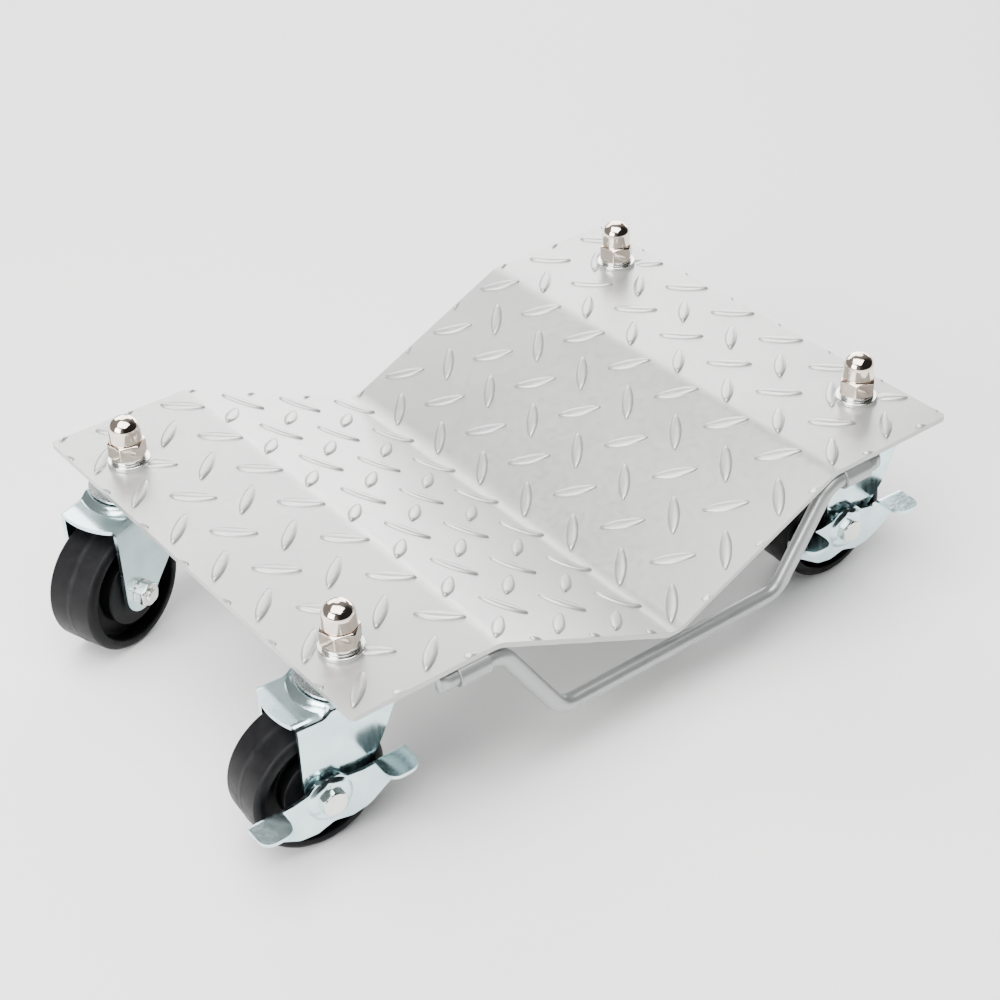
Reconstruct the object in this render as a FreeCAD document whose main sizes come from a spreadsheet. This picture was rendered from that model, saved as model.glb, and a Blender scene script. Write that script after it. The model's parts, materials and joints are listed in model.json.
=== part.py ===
import FreeCAD, Part
import math
import os
import Sketcher

# Wheel dolly: a folded tread-plate deck with a V seat for a tyre, four swivel casters under
# its wings and a drop handle on one long edge.
# Row frame: origin on the floor under the middle of the deck, X along the deck, Z up,
# the handle side at -Y. All sizes are in millimetres.

doc = FreeCAD.newDocument("wheel_dolly")
sizes = doc.addObject("Spreadsheet::Sheet", "sizes")

drivingSizes = [
    # deck plate
    ("deckLength", 406.0),
    ("deckWidth", 305.0),
    ("deckTop", 103.5),
    ("deckSheet", 3.0),
    ("wingLength", 88.0),
    ("seatDrop", 53.1),
    ("bendRadius", 9.0),
    ("cornerRadius", 3.0),
    ("boltInsetX", 25.25),
    ("boltInsetY", 46.0),
    ("boltHoleRadius", 6.5),
    # hardware on each swivel axis
    ("kingRadius", 5.95),
    ("threadRadius", 6.0),
    ("washerRadius", 12.0),
    ("washerBore", 6.3),
    ("washerThick", 2.5),
    ("springRadius", 9.8),
    ("springBore", 6.1),
    ("springThick", 2.0),
    ("springSlit", 1.5),
    ("chamferInset", 0.3),
    ("chamferClear", 1.3),
    ("capFlats", 19.0),
    ("capCoreInset", 0.4),
    ("capHexHeight", 10.0),
    ("capHeight", 24.5),
    ("capGrooveRadius", 8.3),
    ("capGroove", 0.8),
    ("capBarrelRadius", 9.1),
    ("capDomeRadius", 8.4),
    ("capDomeFillet", 7.4),
    ("capThreadDepth", 16.0),
    ("kingHeadFlats", 18.0),
    ("kingHeadHeight", 5.0),
    ("kingHeadBase", 77.0),
    ("kingLength", 44.0),
    # ball races
    ("raceCrownRadius", 11.6),
    ("raceBrimRadius", 24.6),
    ("raceBrimTop", 91.5),
    ("raceBrimThick", 1.3),
    ("raceSheet", 2.0),
    ("raceFlankInset", 20.6),
    ("raceBore", 6.2),
    ("upperBallRadius", 2.5),
    ("upperBallPitch", 13.0),
    ("upperBallHeight", 92.3),
    ("upperBallCount", 14),
    ("lowerBallRadius", 2.0),
    ("lowerBallPitch", 11.5),
    ("lowerBallHeight", 86.6),
    ("lowerBallCount", 14),
    ("ballPlay", 0.05),
    ("cupRadius", 15.5),
    ("cupLip", 1.3),
    ("cupFloor", 2.2),
    ("cupHeight", 4.0),
    # fork
    ("forkHalf", 20.5),
    ("forkSheet", 2.5),
    ("forkBore", 7.0),
    ("crownPlate", 91.0),
    ("crownPlateRadius", 16.0),
    ("crownSheet", 3.0),
    ("crownUnderInset", 0.8),
    ("stepUnderOutset", 0.5),
    ("crownStep", 89.3),
    ("crownStepRadius", 17.3),
    ("crownRimRadius", 25.2),
    ("rimUnderInset", 1.6),
    ("flareMidRadius", 26.6),
    ("flareMidHeight", 87.5),
    ("flareRadius", 30.3),
    ("flareUnderInset", 0.7),
    ("crownEdgeRadius", 31.0),
    ("hoodTop", 86.0),
    ("hoodRadius", 43.5),
    ("hoodSweep", 120.0),
    ("forkBend", 3.0),
    ("legFront", 38.3),
    ("legFrontInset", 7.3),
    ("legFrontSink", 1.5),
    ("legTopInset", 15.1),
    ("legTopSink", 1.8),
    ("legTailInset", 8.0),
    ("legTailSink", 1.0),
    ("legSweepAcross", 12.5),
    ("legSweepRise", 30.5),
    ("legKneeAcross", 2.0),
    ("legKneeRise", 7.8),
    ("legEndRadius", 11.8),
    # wheel and axle
    ("trail", 26.5),
    ("axleHeight", 37.5),
    ("wheelRadius", 37.5),
    ("wheelHalf", 16.0),
    ("wheelShoulder", 4.0),
    ("recessRadius", 31.2),
    ("recessDepth", 9.0),
    ("hubRadius", 21.3),
    ("wheelBore", 6.06),
    ("axleHoleRadius", 4.05),
    ("axleNutBore", 4.0),
    ("sleeveRadius", 6.0),
    ("sleeveBore", 4.1),
    ("axleRadius", 3.95),
    ("axleFlats", 13.0),
    ("axleHeadHeight", 5.3),
    ("axleNutHeight", 6.5),
    ("axleEnd", 2.4),
    # brake lever, measured from the axle
    ("leverGap", 0.3),
    ("leverSheet", 2.0),
    ("leverBossRadius", 11.0),
    ("leverBossRise", 2.2),
    ("leverBossRound", 1.32),
    ("leverBore", 4.05),
    ("leverHalf", 45.0),
    ("leverPadStart", 26.5),
    ("leverPadTop", 10.0),
    ("leverPadReach", 20.2),
    ("leverPadCorner", 7.0),
    ("leverHeadGap", 0.2),
    ("leverMiddleLow", 15.5),
    ("leverLobeAcross", 10.0),
    ("leverLobeLow", 18.3),
    ("leverFlankAcross", 20.0),
    ("leverFlankLow", 17.0),
    ("leverTaperAcross", 35.0),
    ("leverTaperLow", 8.0),
    ("leverEndDrop", 4.0),
    ("leverDipAcross", 20.0),
    ("leverDip", 3.1),
    ("leverShoulderDip", 1.5),
    ("leverPeakAcross", 7.0),
    ("leverPeakRise", 2.3),
    # drop handle
    ("rodRadius", 4.6),
    ("hingeInset", 3.0),
    ("hingeDrop", 9.3),
    ("hingeHalf", 150.0),
    ("handleShoulder", 113.0),
    ("handleHalf", 76.5),
    ("handleDrop", 55.2),
    ("handleBend", 15.0),
    ("rodTipLength", 5.0),
    ("rodTipWidth", 10.4),
    ("rodTipThick", 5.4),
    ("rodTipRound", 1.5),
    ("strapRadius", 6.3),
    ("strapBore", 4.7),
    ("strapStart", 122.6),
    ("strapLength", 18.4),
    ("strapTail", 15.0),
    ("strapSheet", 1.6),
    # heading of each caster at rest
    ("yawNearLeft", -3.3),
    ("yawNearRight", -0.6),
    ("yawFarLeft", 20.3),
    ("yawFarRight", 8.0),
    # tilt of each brake lever at rest
    ("tiltNearLeft", 4.0),
    ("tiltNearRight", -3.0),
]
for row, (alias, number) in enumerate(drivingSizes, start=1):
    sizes.set("A%d" % row, alias)
    sizes.set("B%d" % row, str(number))
    sizes.setAlias("B%d" % row, alias)
doc.recompute()

throughAll = "sizes.deckTop * 3"  # deeper than any piece
startOutline = 30  # where a sketch's lines and circles start before their bound sizes move them
startCircle = 5
leastCut = 0.01  # a cut that takes less than this has missed
edgeSlack = 0.1


def size(alias):
    return float(sizes.get(alias))


def body(label):
    # an empty body whose label names its node
    made = doc.addObject("PartDesign::Body", label)
    made.Label = label
    return made


def originPlane(owner, role):
    for feature in owner.Origin.OriginFeatures:
        if feature.Role == role:
            return feature


def sketchOn(owner, role, lift=None):
    # a sketch on one of the body's own origin planes, lifted along the plane's normal
    sketch = owner.newObject("Sketcher::SketchObject", owner.Name + "_sketch")
    sketch.AttachmentSupport = (originPlane(owner, role), [""])
    sketch.MapMode = "FlatFace"
    if lift:
        sketch.setExpression("AttachmentOffset.Base.z", lift)
    return sketch


def pin(sketch, geometry, point, across, up):
    # ties one point to the sketch's origin with two bound distances
    for kind, axis, text in (("DistanceX", -2, across), ("DistanceY", -1, up)):
        if text == "0":
            sketch.addConstraint(Sketcher.Constraint("PointOnObject", geometry, point, axis))
        else:
            index = sketch.addConstraint(Sketcher.Constraint(kind, -1, 1, geometry, point, 1.0))
            sketch.setExpression("Constraints[%d]" % index, text)


def outline(sketch, corners):
    # a closed run of straight lines through bound corners
    count = len(corners)
    first = sketch.GeometryCount
    spots = []
    for index in range(count):
        angle = 2 * math.pi * index / count
        spots.append(FreeCAD.Vector(startOutline * math.cos(angle), startOutline * math.sin(angle), 0))
    for index in range(count):
        sketch.addGeometry(Part.LineSegment(spots[index], spots[(index + 1) % count]), False)
    for index in range(count):
        after = first + (index + 1) % count
        sketch.addConstraint(Sketcher.Constraint("Coincident", first + index, 2, after, 1))
    for index, (across, up) in enumerate(corners):
        pin(sketch, first + index, 1, across, up)


def ring(sketch, radius, across="0", up="0"):
    # a circle with a bound radius and centre
    circle = Part.Circle(FreeCAD.Vector(0, 0, 0), FreeCAD.Vector(0, 0, 1), startCircle)
    geometry = sketch.addGeometry(circle, False)
    index = sketch.addConstraint(Sketcher.Constraint("Radius", geometry, startCircle))
    sketch.setExpression("Constraints[%d]" % index, radius)
    pin(sketch, geometry, 3, across, up)


def rectangle(sketch, left, low, right, high):
    outline(sketch, [(left, low), (right, low), (right, high), (left, high)])


def hexagon(sketch, flats):
    corner = flats + " / sqrt(3)"
    half = flats + " / 2"
    short = flats + " / 2 / sqrt(3)"
    outline(sketch, [(corner, "0"), (short, half), ("-" + short, half),
                     ("-" + corner, "0"), ("-" + short, "-" + half), (short, "-" + half)])


def pad(owner, sketch, length, midplane=False, backward=False):
    made = owner.newObject("PartDesign::Pad", owner.Name + "_pad")
    made.Profile = sketch
    made.setExpression("Length", length)
    made.Midplane = midplane
    made.Reversed = backward


def pocket(owner, sketch, length, midplane=True, backward=False):
    # takes material away and makes sure that some was there
    doc.recompute()
    before = owner.Shape.Volume
    made = owner.newObject("PartDesign::Pocket", owner.Name + "_pocket")
    made.Profile = sketch
    made.setExpression("Length", length)
    made.Midplane = midplane
    made.Reversed = backward
    doc.recompute()
    if owner.Shape.Volume > before - leastCut:
        raise RuntimeError(owner.Label + ": a pocket cut nothing")


def revolve(owner, sketch, turn=None):
    made = owner.newObject("PartDesign::Revolution", owner.Name + "_turned")
    made.Profile = sketch
    made.ReferenceAxis = (sketch, ["V_Axis"])
    made.Angle = 360
    if turn:
        made.setExpression("Angle", turn)
        made.Midplane = True


def groove(owner, sketch):
    doc.recompute()
    before = owner.Shape.Volume
    made = owner.newObject("PartDesign::Groove", owner.Name + "_groove")
    made.Profile = sketch
    made.ReferenceAxis = (sketch, ["V_Axis"])
    made.Angle = 360
    doc.recompute()
    if owner.Shape.Volume > before - leastCut:
        raise RuntimeError(owner.Label + ": a groove cut nothing")


def fillet(owner, radius, chosen):
    # rounds the edges that the test chooses from the body's last feature
    doc.recompute()
    last = owner.Tip
    names = []
    for index, edge in enumerate(last.Shape.Edges, start=1):
        if chosen(edge):
            names.append("Edge%d" % index)
    if not names:
        raise RuntimeError(owner.Label + ": no edge to round")
    made = owner.newObject("PartDesign::Fillet", owner.Name + "_round")
    made.Base = (last, names)
    made.setExpression("Radius", radius)
    doc.recompute()


def middle(edge):
    return edge.valueAt((edge.FirstParameter + edge.LastParameter) / 2)


def near(one, other, slack=0.05):
    return abs(one - other) < slack


def ringAt(radius, height):
    # chooses whole circles of that radius about Z at that height
    def test(edge):
        if not isinstance(edge.Curve, Part.Circle):
            return False
        return near(edge.Curve.Radius, radius) and near(edge.Curve.Center.z, height)
    return test


def tube(label, outer, inner, height):
    # a plain tube about Z from Part cylinders
    shell = doc.addObject("Part::Cylinder", label + "_outer")
    shell.setExpression("Radius", outer)
    shell.setExpression("Height", height)
    bore = doc.addObject("Part::Cylinder", label + "_bore")
    bore.setExpression("Radius", inner)
    bore.setExpression("Height", height)
    made = doc.addObject("Part::Cut", label)
    made.Base = shell
    made.Tool = bore
    made.Label = label
    return made


def ballRing(label, radius, pitch, height, count):
    # a full ring of loose balls, one solid each
    balls = []
    for index in range(count):
        angle = 2 * math.pi * index / count
        centre = FreeCAD.Vector(pitch * math.cos(angle), pitch * math.sin(angle), height)
        balls.append(Part.makeSphere(radius, centre))
    made = doc.addObject("Part::Feature", label)
    made.Shape = Part.makeCompound(balls)
    made.Label = label
    return made


def hexChamfer(owner, flats, ends):
    # turns the ends of a hexagon down to a cone of 30 degrees; an end is its height and the sign
    # of the way into the metal
    sketch = sketchOn(owner, "XZ_Plane")
    inside = flats + " / 2 - sizes.chamferInset"
    outside = flats + " / 2 * sizes.chamferClear"
    fall = "(" + outside + " - " + flats + " / 2 + sizes.chamferInset) * tan(30)"
    for height, inward in ends:
        outline(sketch, [(inside, height), (outside, height), (outside, height + inward + fall)])
    groove(owner, sketch)


def bothEnds(height):
    return [("0", " + "), (height, " - ")]


def makeDeckPlate():
    # sheet folded into two level wings and a V seat between them
    made = body("deck_plate")
    sketch = sketchOn(made, "XZ_Plane")
    top = "sizes.deckTop"
    half = "sizes.deckLength / 2"
    run = "(sizes.deckLength / 2 - sizes.wingLength)"
    slope = "sqrt(" + run + " ^ 2 + sizes.seatDrop ^ 2)"
    shift = "sizes.deckSheet * (" + slope + " - " + run + ") / sizes.seatDrop"
    under = top + " - sizes.deckSheet"
    apex = top + " - sizes.seatDrop"
    apexUnder = apex + " - sizes.deckSheet * " + slope + " / " + run
    outline(sketch, [("-" + half, top), ("-" + run, top), ("0", apex), (run, top), (half, top),
                     (half, under), (run + " + " + shift, under), ("0", apexUnder),
                     ("-" + run + " - " + shift, under), ("-" + half, under)])
    pad(made, sketch, "sizes.deckWidth", midplane=True)
    runLength = size("deckLength") / 2 - size("wingLength")
    seatLow = size("deckTop") - size("seatDrop")

    def outerBend(edge):
        spot = middle(edge)
        along = near(abs(edge.tangentAt(edge.FirstParameter).y), 1)
        wing = near(abs(spot.x), runLength) and near(spot.z, size("deckTop"))
        seat = near(spot.x, 0) and spot.z < seatLow - edgeSlack
        return along and (wing or seat)

    def innerBend(edge):
        spot = middle(edge)
        along = near(abs(edge.tangentAt(edge.FirstParameter).y), 1)
        wing = abs(spot.x) < size("deckLength") / 2 - 1 and near(spot.z, size("deckTop") - size("deckSheet"))
        seat = near(spot.x, 0) and near(spot.z, seatLow)
        return along and (wing or seat)

    fillet(made, "sizes.bendRadius + sizes.deckSheet", outerBend)
    fillet(made, "sizes.bendRadius", innerBend)

    def cornerEdge(edge):
        spot = middle(edge)
        upright = near(abs(edge.tangentAt(edge.FirstParameter).z), 1)
        return upright and near(abs(spot.x), size("deckLength") / 2)

    fillet(made, "sizes.cornerRadius", cornerEdge)
    holes = sketchOn(made, "XY_Plane")
    for side in ("", "-"):
        for edge in ("", "-"):
            across = side + "(sizes.deckLength / 2 - sizes.boltInsetX)"
            up = edge + "(sizes.deckWidth / 2 - sizes.boltInsetY)"
            ring(holes, "sizes.boltHoleRadius", across, up)
    pocket(made, holes, throughAll)
    return made


def makeCapNut(label):
    # dome nut on a chamfered hexagon; its foot is at z = 0
    made = body(label)
    sketch = sketchOn(made, "XZ_Plane")
    core = "sizes.capFlats / 2 - sizes.capCoreInset"
    neck = "sizes.capHexHeight + sizes.capGroove"
    outline(sketch, [("sizes.threadRadius", "0"), (core, "0"), (core, "sizes.capHexHeight"),
                     ("sizes.capGrooveRadius", "sizes.capHexHeight"), ("sizes.capGrooveRadius", neck),
                     ("sizes.capBarrelRadius", neck), ("sizes.capDomeRadius", "sizes.capHeight"),
                     ("0", "sizes.capHeight"), ("0", "sizes.capThreadDepth"),
                     ("sizes.threadRadius", "sizes.capThreadDepth")])
    revolve(made, sketch)
    fillet(made, "sizes.capDomeFillet", ringAt(size("capDomeRadius"), size("capHeight")))
    flats = sketchOn(made, "XY_Plane")
    hexagon(flats, "sizes.capFlats")
    ring(flats, "sizes.threadRadius")
    pad(made, flats, "sizes.capHexHeight")
    hexChamfer(made, "sizes.capFlats", bothEnds("sizes.capHexHeight"))
    return made


def makeSpringWasher(label):
    # split ring under the dome nut
    ringPart = tube(label + "_ring", "sizes.springRadius", "sizes.springBore", "sizes.springThick")
    slit = doc.addObject("Part::Box", label + "_slit")
    slit.setExpression("Length", "sizes.springRadius * 2")
    slit.setExpression("Width", "sizes.springSlit")
    slit.setExpression("Height", "sizes.springThick")
    slit.setExpression("Placement.Base.y", "-sizes.springSlit / 2")
    made = doc.addObject("Part::Cut", label)
    made.Base = ringPart
    made.Tool = slit
    made.Label = label
    return made


def makeKingBolt(label):
    # hexagon head under the lower race, shank up into the dome nut; head base at z = 0
    made = body(label)
    head = sketchOn(made, "XY_Plane")
    hexagon(head, "sizes.kingHeadFlats")
    pad(made, head, "sizes.kingHeadHeight")
    hexChamfer(made, "sizes.kingHeadFlats", bothEnds("sizes.kingHeadHeight"))
    shank = sketchOn(made, "XY_Plane")
    ring(shank, "sizes.kingRadius")
    pad(made, shank, "sizes.kingLength")
    return made


def makeTopRace(label):
    # hat-shaped pressing under the deck; its flank runs over the upper balls
    made = body(label)
    sketch = sketchOn(made, "XZ_Plane")
    under = "sizes.deckTop - sizes.deckSheet"
    brimLow = "sizes.raceBrimTop - sizes.raceBrimThick"
    flankLow = "sizes.raceFlankInset - sizes.raceSheet * sqrt(2) + sizes.raceBrimThick"
    crownIn = "sizes.raceCrownRadius - sizes.raceSheet * (sqrt(2) - 1)"
    outline(sketch, [("sizes.raceBore", under), ("sizes.raceCrownRadius", under),
                     ("sizes.raceFlankInset", "sizes.raceBrimTop"),
                     ("sizes.raceBrimRadius", "sizes.raceBrimTop"),
                     ("sizes.raceBrimRadius", brimLow), (flankLow, brimLow),
                     (crownIn, under + " - sizes.raceSheet"),
                     ("sizes.raceBore", under + " - sizes.raceSheet")])
    revolve(made, sketch)
    return made


def makeLowerRace(label):
    # cup on the king bolt's head that carries the lower balls; its floor is at z = 0
    made = body(label)
    sketch = sketchOn(made, "XZ_Plane")
    inside = "sizes.cupRadius - sizes.cupLip"
    outline(sketch, [("sizes.raceBore", "0"), ("sizes.cupRadius", "0"),
                     ("sizes.cupRadius", "sizes.cupHeight"), (inside, "sizes.cupHeight"),
                     (inside, "sizes.cupFloor"), ("sizes.raceBore", "sizes.cupFloor")])
    revolve(made, sketch)
    return made


def legOutline(sketch):
    # front edge upright, tail sweeping forward and up from the axle's rounded end
    centre = "-sizes.trail"
    tangentAcross = "-sizes.trail + sizes.legEndRadius * cos(45)"
    tangentUp = "sizes.axleHeight - sizes.legEndRadius * cos(45)"
    frontTop = "sizes.hoodTop - sizes.legFrontSink"
    crownLow = "sizes.crownStep - sizes.legTopSink"
    outline(sketch, [("-sizes.legFront", frontTop), ("-sizes.legFront", "sizes.axleHeight"),
                     (centre, "sizes.axleHeight"), (tangentAcross, tangentUp),
                     ("-sizes.legKneeAcross", "sizes.axleHeight + sizes.legKneeRise"),
                     ("sizes.legSweepAcross", "sizes.axleHeight + sizes.legSweepRise"),
                     ("sizes.flareRadius - sizes.legTailInset", "sizes.hoodTop - sizes.legTailSink"),
                     ("sizes.flareRadius - sizes.legTopInset", crownLow),
                     ("-sizes.flareRadius + sizes.legTopInset", crownLow),
                     ("-sizes.flareRadius + sizes.legFrontInset", frontTop)])


def makeFork(label):
    # one pressing: crown round the balls, hood over the wheel, two legs down to the axle
    made = body(label)
    crown = sketchOn(made, "XZ_Plane")
    sheet = "sizes.forkSheet"
    outline(crown, [("sizes.forkBore", "sizes.crownPlate"), ("sizes.crownPlateRadius", "sizes.crownPlate"),
                    ("sizes.crownStepRadius", "sizes.crownStep"), ("sizes.crownRimRadius", "sizes.crownStep"),
                    ("sizes.flareMidRadius", "sizes.flareMidHeight"), ("sizes.flareRadius", "sizes.hoodTop"),
                    ("sizes.crownEdgeRadius", "sizes.hoodTop"),
                    ("sizes.crownEdgeRadius", "sizes.hoodTop - " + sheet),
                    ("sizes.flareRadius - sizes.flareUnderInset", "sizes.hoodTop - " + sheet),
                    ("sizes.crownRimRadius - sizes.rimUnderInset", "sizes.crownStep - " + sheet),
                    ("sizes.crownPlateRadius + sizes.stepUnderOutset", "sizes.crownStep - " + sheet),
                    ("sizes.crownPlateRadius - sizes.crownUnderInset", "sizes.crownPlate - sizes.crownSheet"),
                    ("sizes.forkBore", "sizes.crownPlate - sizes.crownSheet")])
    revolve(made, crown)
    hood = sketchOn(made, "XZ_Plane")
    rectangle(hood, "-sizes.hoodRadius", "sizes.hoodTop - " + sheet, "-sizes.flareRadius", "sizes.hoodTop")
    revolve(made, hood, turn="sizes.hoodSweep")
    sides = sketchOn(made, "XY_Plane")
    beyond = "sizes.hoodRadius * 1.3"
    for sign in ("", "-"):
        rectangle(sides, "-" + beyond, sign + "sizes.forkHalf", beyond, sign + beyond)
    pocket(made, sides, throughAll)
    for lift in ("sizes.forkHalf - " + sheet, "-sizes.forkHalf"):
        leg = sketchOn(made, "XZ_Plane", lift)
        legOutline(leg)
        pad(made, leg, sheet)
        end = sketchOn(made, "XZ_Plane", lift)
        ring(end, "sizes.legEndRadius", "-sizes.trail", "sizes.axleHeight")
        pad(made, end, sheet)
    doc.recompute()

    def topBend(edge):
        spot = middle(edge)
        onSide = near(abs(spot.y), size("forkHalf")) and near(abs(edge.Vertexes[0].Y), size("forkHalf"))
        level = abs(edge.tangentAt(edge.FirstParameter).z) < 0.99
        return onSide and spot.x < 1 and spot.z > size("hoodTop") - edgeSlack and level

    fillet(made, "sizes.forkBend", topBend)
    axle = sketchOn(made, "XZ_Plane")
    ring(axle, "sizes.axleHoleRadius", "-sizes.trail", "sizes.axleHeight")
    pocket(made, axle, throughAll)
    tracks = sketchOn(made, "XZ_Plane")
    for level in ("upper", "lower"):
        ball = "sizes." + level + "Ball"
        ring(tracks, ball + "Radius + sizes.ballPlay", ball + "Pitch", ball + "Height")
    groove(made, tracks)
    return made


def makeWheel(label):
    # solid wheel turned about Y: treaded rim, deep side recesses and a flush hub
    made = body(label)
    sketch = sketchOn(made, "XY_Plane")
    floor = "sizes.wheelHalf - sizes.recessDepth"
    half = "sizes.wheelHalf"
    rightSide = [("sizes.wheelBore", half), ("sizes.hubRadius", half), ("sizes.hubRadius", floor),
                 ("sizes.recessRadius", floor), ("sizes.recessRadius", half), ("sizes.wheelRadius", half)]
    leftSide = [(across, "-(" + up + ")") for across, up in reversed(rightSide)]
    outline(sketch, rightSide + leftSide)
    revolve(made, sketch)

    def shoulder(edge):
        return isinstance(edge.Curve, Part.Circle) and near(edge.Curve.Radius, size("wheelRadius"))

    fillet(made, "sizes.wheelShoulder", shoulder)
    return made


def makeAxleBolt(label, shank):
    # hexagon bolt about Z: head from z = 0 down, shank from z = 0 up
    made = body(label)
    head = sketchOn(made, "XY_Plane")
    hexagon(head, "sizes.axleFlats")
    pad(made, head, "sizes.axleHeadHeight", backward=True)
    hexChamfer(made, "sizes.axleFlats", [("-sizes.axleHeadHeight", " + ")])
    rod = sketchOn(made, "XY_Plane")
    ring(rod, "sizes.axleRadius")
    pad(made, rod, shank)
    return made


def makeAxleNut(label):
    # plain hexagon nut about Z with its foot at z = 0
    made = body(label)
    flats = sketchOn(made, "XY_Plane")
    hexagon(flats, "sizes.axleFlats")
    ring(flats, "sizes.axleNutBore")
    pad(made, flats, "sizes.axleNutHeight")
    hexChamfer(made, "sizes.axleFlats", bothEnds("sizes.axleNutHeight"))
    return made


def makeBrakeLever(label):
    # see-saw plate on the axle bolt with a raised boss and a foot pad folded out at each end
    made = body(label)
    plate = sketchOn(made, "XZ_Plane", "sizes.forkHalf + sizes.leverGap")
    half = "sizes.leverHalf"
    top = "sizes.leverPadTop"
    rightEdge = [("0", "-sizes.leverMiddleLow"), ("sizes.leverLobeAcross", "-sizes.leverLobeLow"),
                 ("sizes.leverFlankAcross", "-sizes.leverFlankLow"),
                 ("sizes.leverTaperAcross", "-sizes.leverTaperLow"),
                 (half, top + " - sizes.leverEndDrop"), (half, top), ("sizes.leverPadStart", top),
                 ("sizes.leverDipAcross", top + " - sizes.leverDip"),
                 ("sizes.leverBossRadius", top + " - sizes.leverShoulderDip"),
                 ("sizes.leverPeakAcross", top + " + sizes.leverPeakRise")]
    leftEdge = [("-(" + across + ")", up) for across, up in reversed(rightEdge[1:])]
    outline(plate, rightEdge + leftEdge)
    pad(made, plate, "sizes.leverSheet")
    for sign in ("", "-"):
        foot = sketchOn(made, "XY_Plane", top + " - sizes.leverSheet")
        out = "-sizes.forkHalf - sizes.leverGap"
        rectangle(foot, sign + "sizes.leverPadStart", out, sign + half, out + " - sizes.leverPadReach")
        pad(made, foot, "sizes.leverSheet")
    boss = sketchOn(made, "XZ_Plane", "sizes.forkHalf + sizes.leverGap + sizes.leverSheet")
    ring(boss, "sizes.leverBossRadius")
    pad(made, boss, "sizes.leverBossRise")
    reach = size("forkHalf") + size("leverGap") + size("leverPadReach")
    face = size("forkHalf") + size("leverGap") + size("leverSheet") + size("leverBossRise")

    def padCorner(edge):
        upright = near(abs(edge.tangentAt(edge.FirstParameter).z), 1)
        return upright and near(middle(edge).y, -reach)

    def bossEdge(edge):
        return isinstance(edge.Curve, Part.Circle) and near(middle(edge).y, -face)

    fillet(made, "sizes.leverPadCorner", padCorner)
    fillet(made, "sizes.leverBossRound", bossEdge)
    hollow = sketchOn(made, "XZ_Plane", "sizes.forkHalf + sizes.leverGap")
    ring(hollow, "sizes.leverBossRadius - sizes.leverSheet")
    pocket(made, hollow, "sizes.leverBossRise", midplane=False, backward=True)
    bore = sketchOn(made, "XZ_Plane")
    ring(bore, "sizes.leverBore")
    pocket(made, bore, throughAll)
    return made


def makeStrap(label):
    # strap rolled round the handle's rod, its tail flat under the wing
    made = body(label)
    roll = sketchOn(made, "YZ_Plane")
    ring(roll, "sizes.strapRadius")
    pad(made, roll, "sizes.strapLength", midplane=True)
    tail = sketchOn(made, "YZ_Plane")
    rectangle(tail, "0", "sizes.strapRadius - sizes.strapSheet", "sizes.strapTail", "sizes.strapRadius")
    pad(made, tail, "sizes.strapLength", midplane=True)
    bore = sketchOn(made, "YZ_Plane")
    ring(bore, "sizes.strapBore")
    pocket(made, bore, "sizes.strapLength * 2")
    return made


def roundedPath(points, radius):
    # straight runs joined by tangent arcs
    edges = []
    start = points[0]
    for before, corner, after in zip(points, points[1:], points[2:]):
        inward = (before - corner).normalize()
        onward = (after - corner).normalize()
        turn = math.pi - inward.getAngle(onward)
        reach = radius * math.tan(turn / 2)
        bisector = (inward + onward).normalize()
        depth = radius / math.cos(turn / 2) - radius
        first = corner + inward * reach
        last = corner + onward * reach
        edges.append(Part.LineSegment(start, first).toShape())
        edges.append(Part.Arc(first, corner + bisector * depth, last).toShape())
        start = last
    edges.append(Part.LineSegment(start, points[-1]).toShape())
    return Part.Wire(edges)


def makeHandle(label):
    # bent rod about the hinge line, with spread tips that keep it in its straps
    half = size("hingeHalf")
    low = -size("handleDrop")
    turns = [(-half, 0), (-size("handleShoulder"), 0), (-size("handleHalf"), low),
             (size("handleHalf"), low), (size("handleShoulder"), 0), (half, 0)]
    path = roundedPath([FreeCAD.Vector(across, 0, up) for across, up in turns], size("handleBend"))
    start = FreeCAD.Vector(-half, 0, 0)
    section = Part.Wire(Part.makeCircle(size("rodRadius"), start, FreeCAD.Vector(1, 0, 0)))
    rod = path.makePipeShell([section], True, False)
    length = size("rodTipLength")
    width = size("rodTipWidth")
    thick = size("rodTipThick")
    for side in (-1, 1):
        corner = FreeCAD.Vector(side * half - length / 2, -thick / 2, -width / 2)
        tip = Part.makeBox(length, thick, width, corner)
        along = [edge for edge in tip.Edges if near(abs(edge.tangentAt(edge.FirstParameter).y), 1)]
        rod = rod.fuse(tip.makeFillet(size("rodTipRound"), along))
    made = doc.addObject("Part::Feature", label)
    made.Shape = rod.removeSplitter()
    made.Label = label
    return made


def place(made, x=0, y=0, z=0, rotation=None, within=None):
    spot = FreeCAD.Placement(FreeCAD.Vector(x, y, z), rotation or FreeCAD.Rotation())
    made.Placement = within.multiply(spot) if within else spot
    nodes.append(made)


nodes = []
deckTop = size("deckTop")
boltX = size("deckLength") / 2 - size("boltInsetX")
boltY = size("deckWidth") / 2 - size("boltInsetY")
hingeY = -size("deckWidth") / 2 + size("hingeInset")
hingeZ = deckTop - size("hingeDrop")

place(makeDeckPlate())
place(makeHandle("handle"), y=hingeY, z=hingeZ)
for side, sign in (("left", -1), ("right", 1)):
    strapX = sign * (size("strapStart") + size("strapLength") / 2)
    place(makeStrap("handle_strap_" + side), strapX, hingeY, hingeZ)

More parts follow.
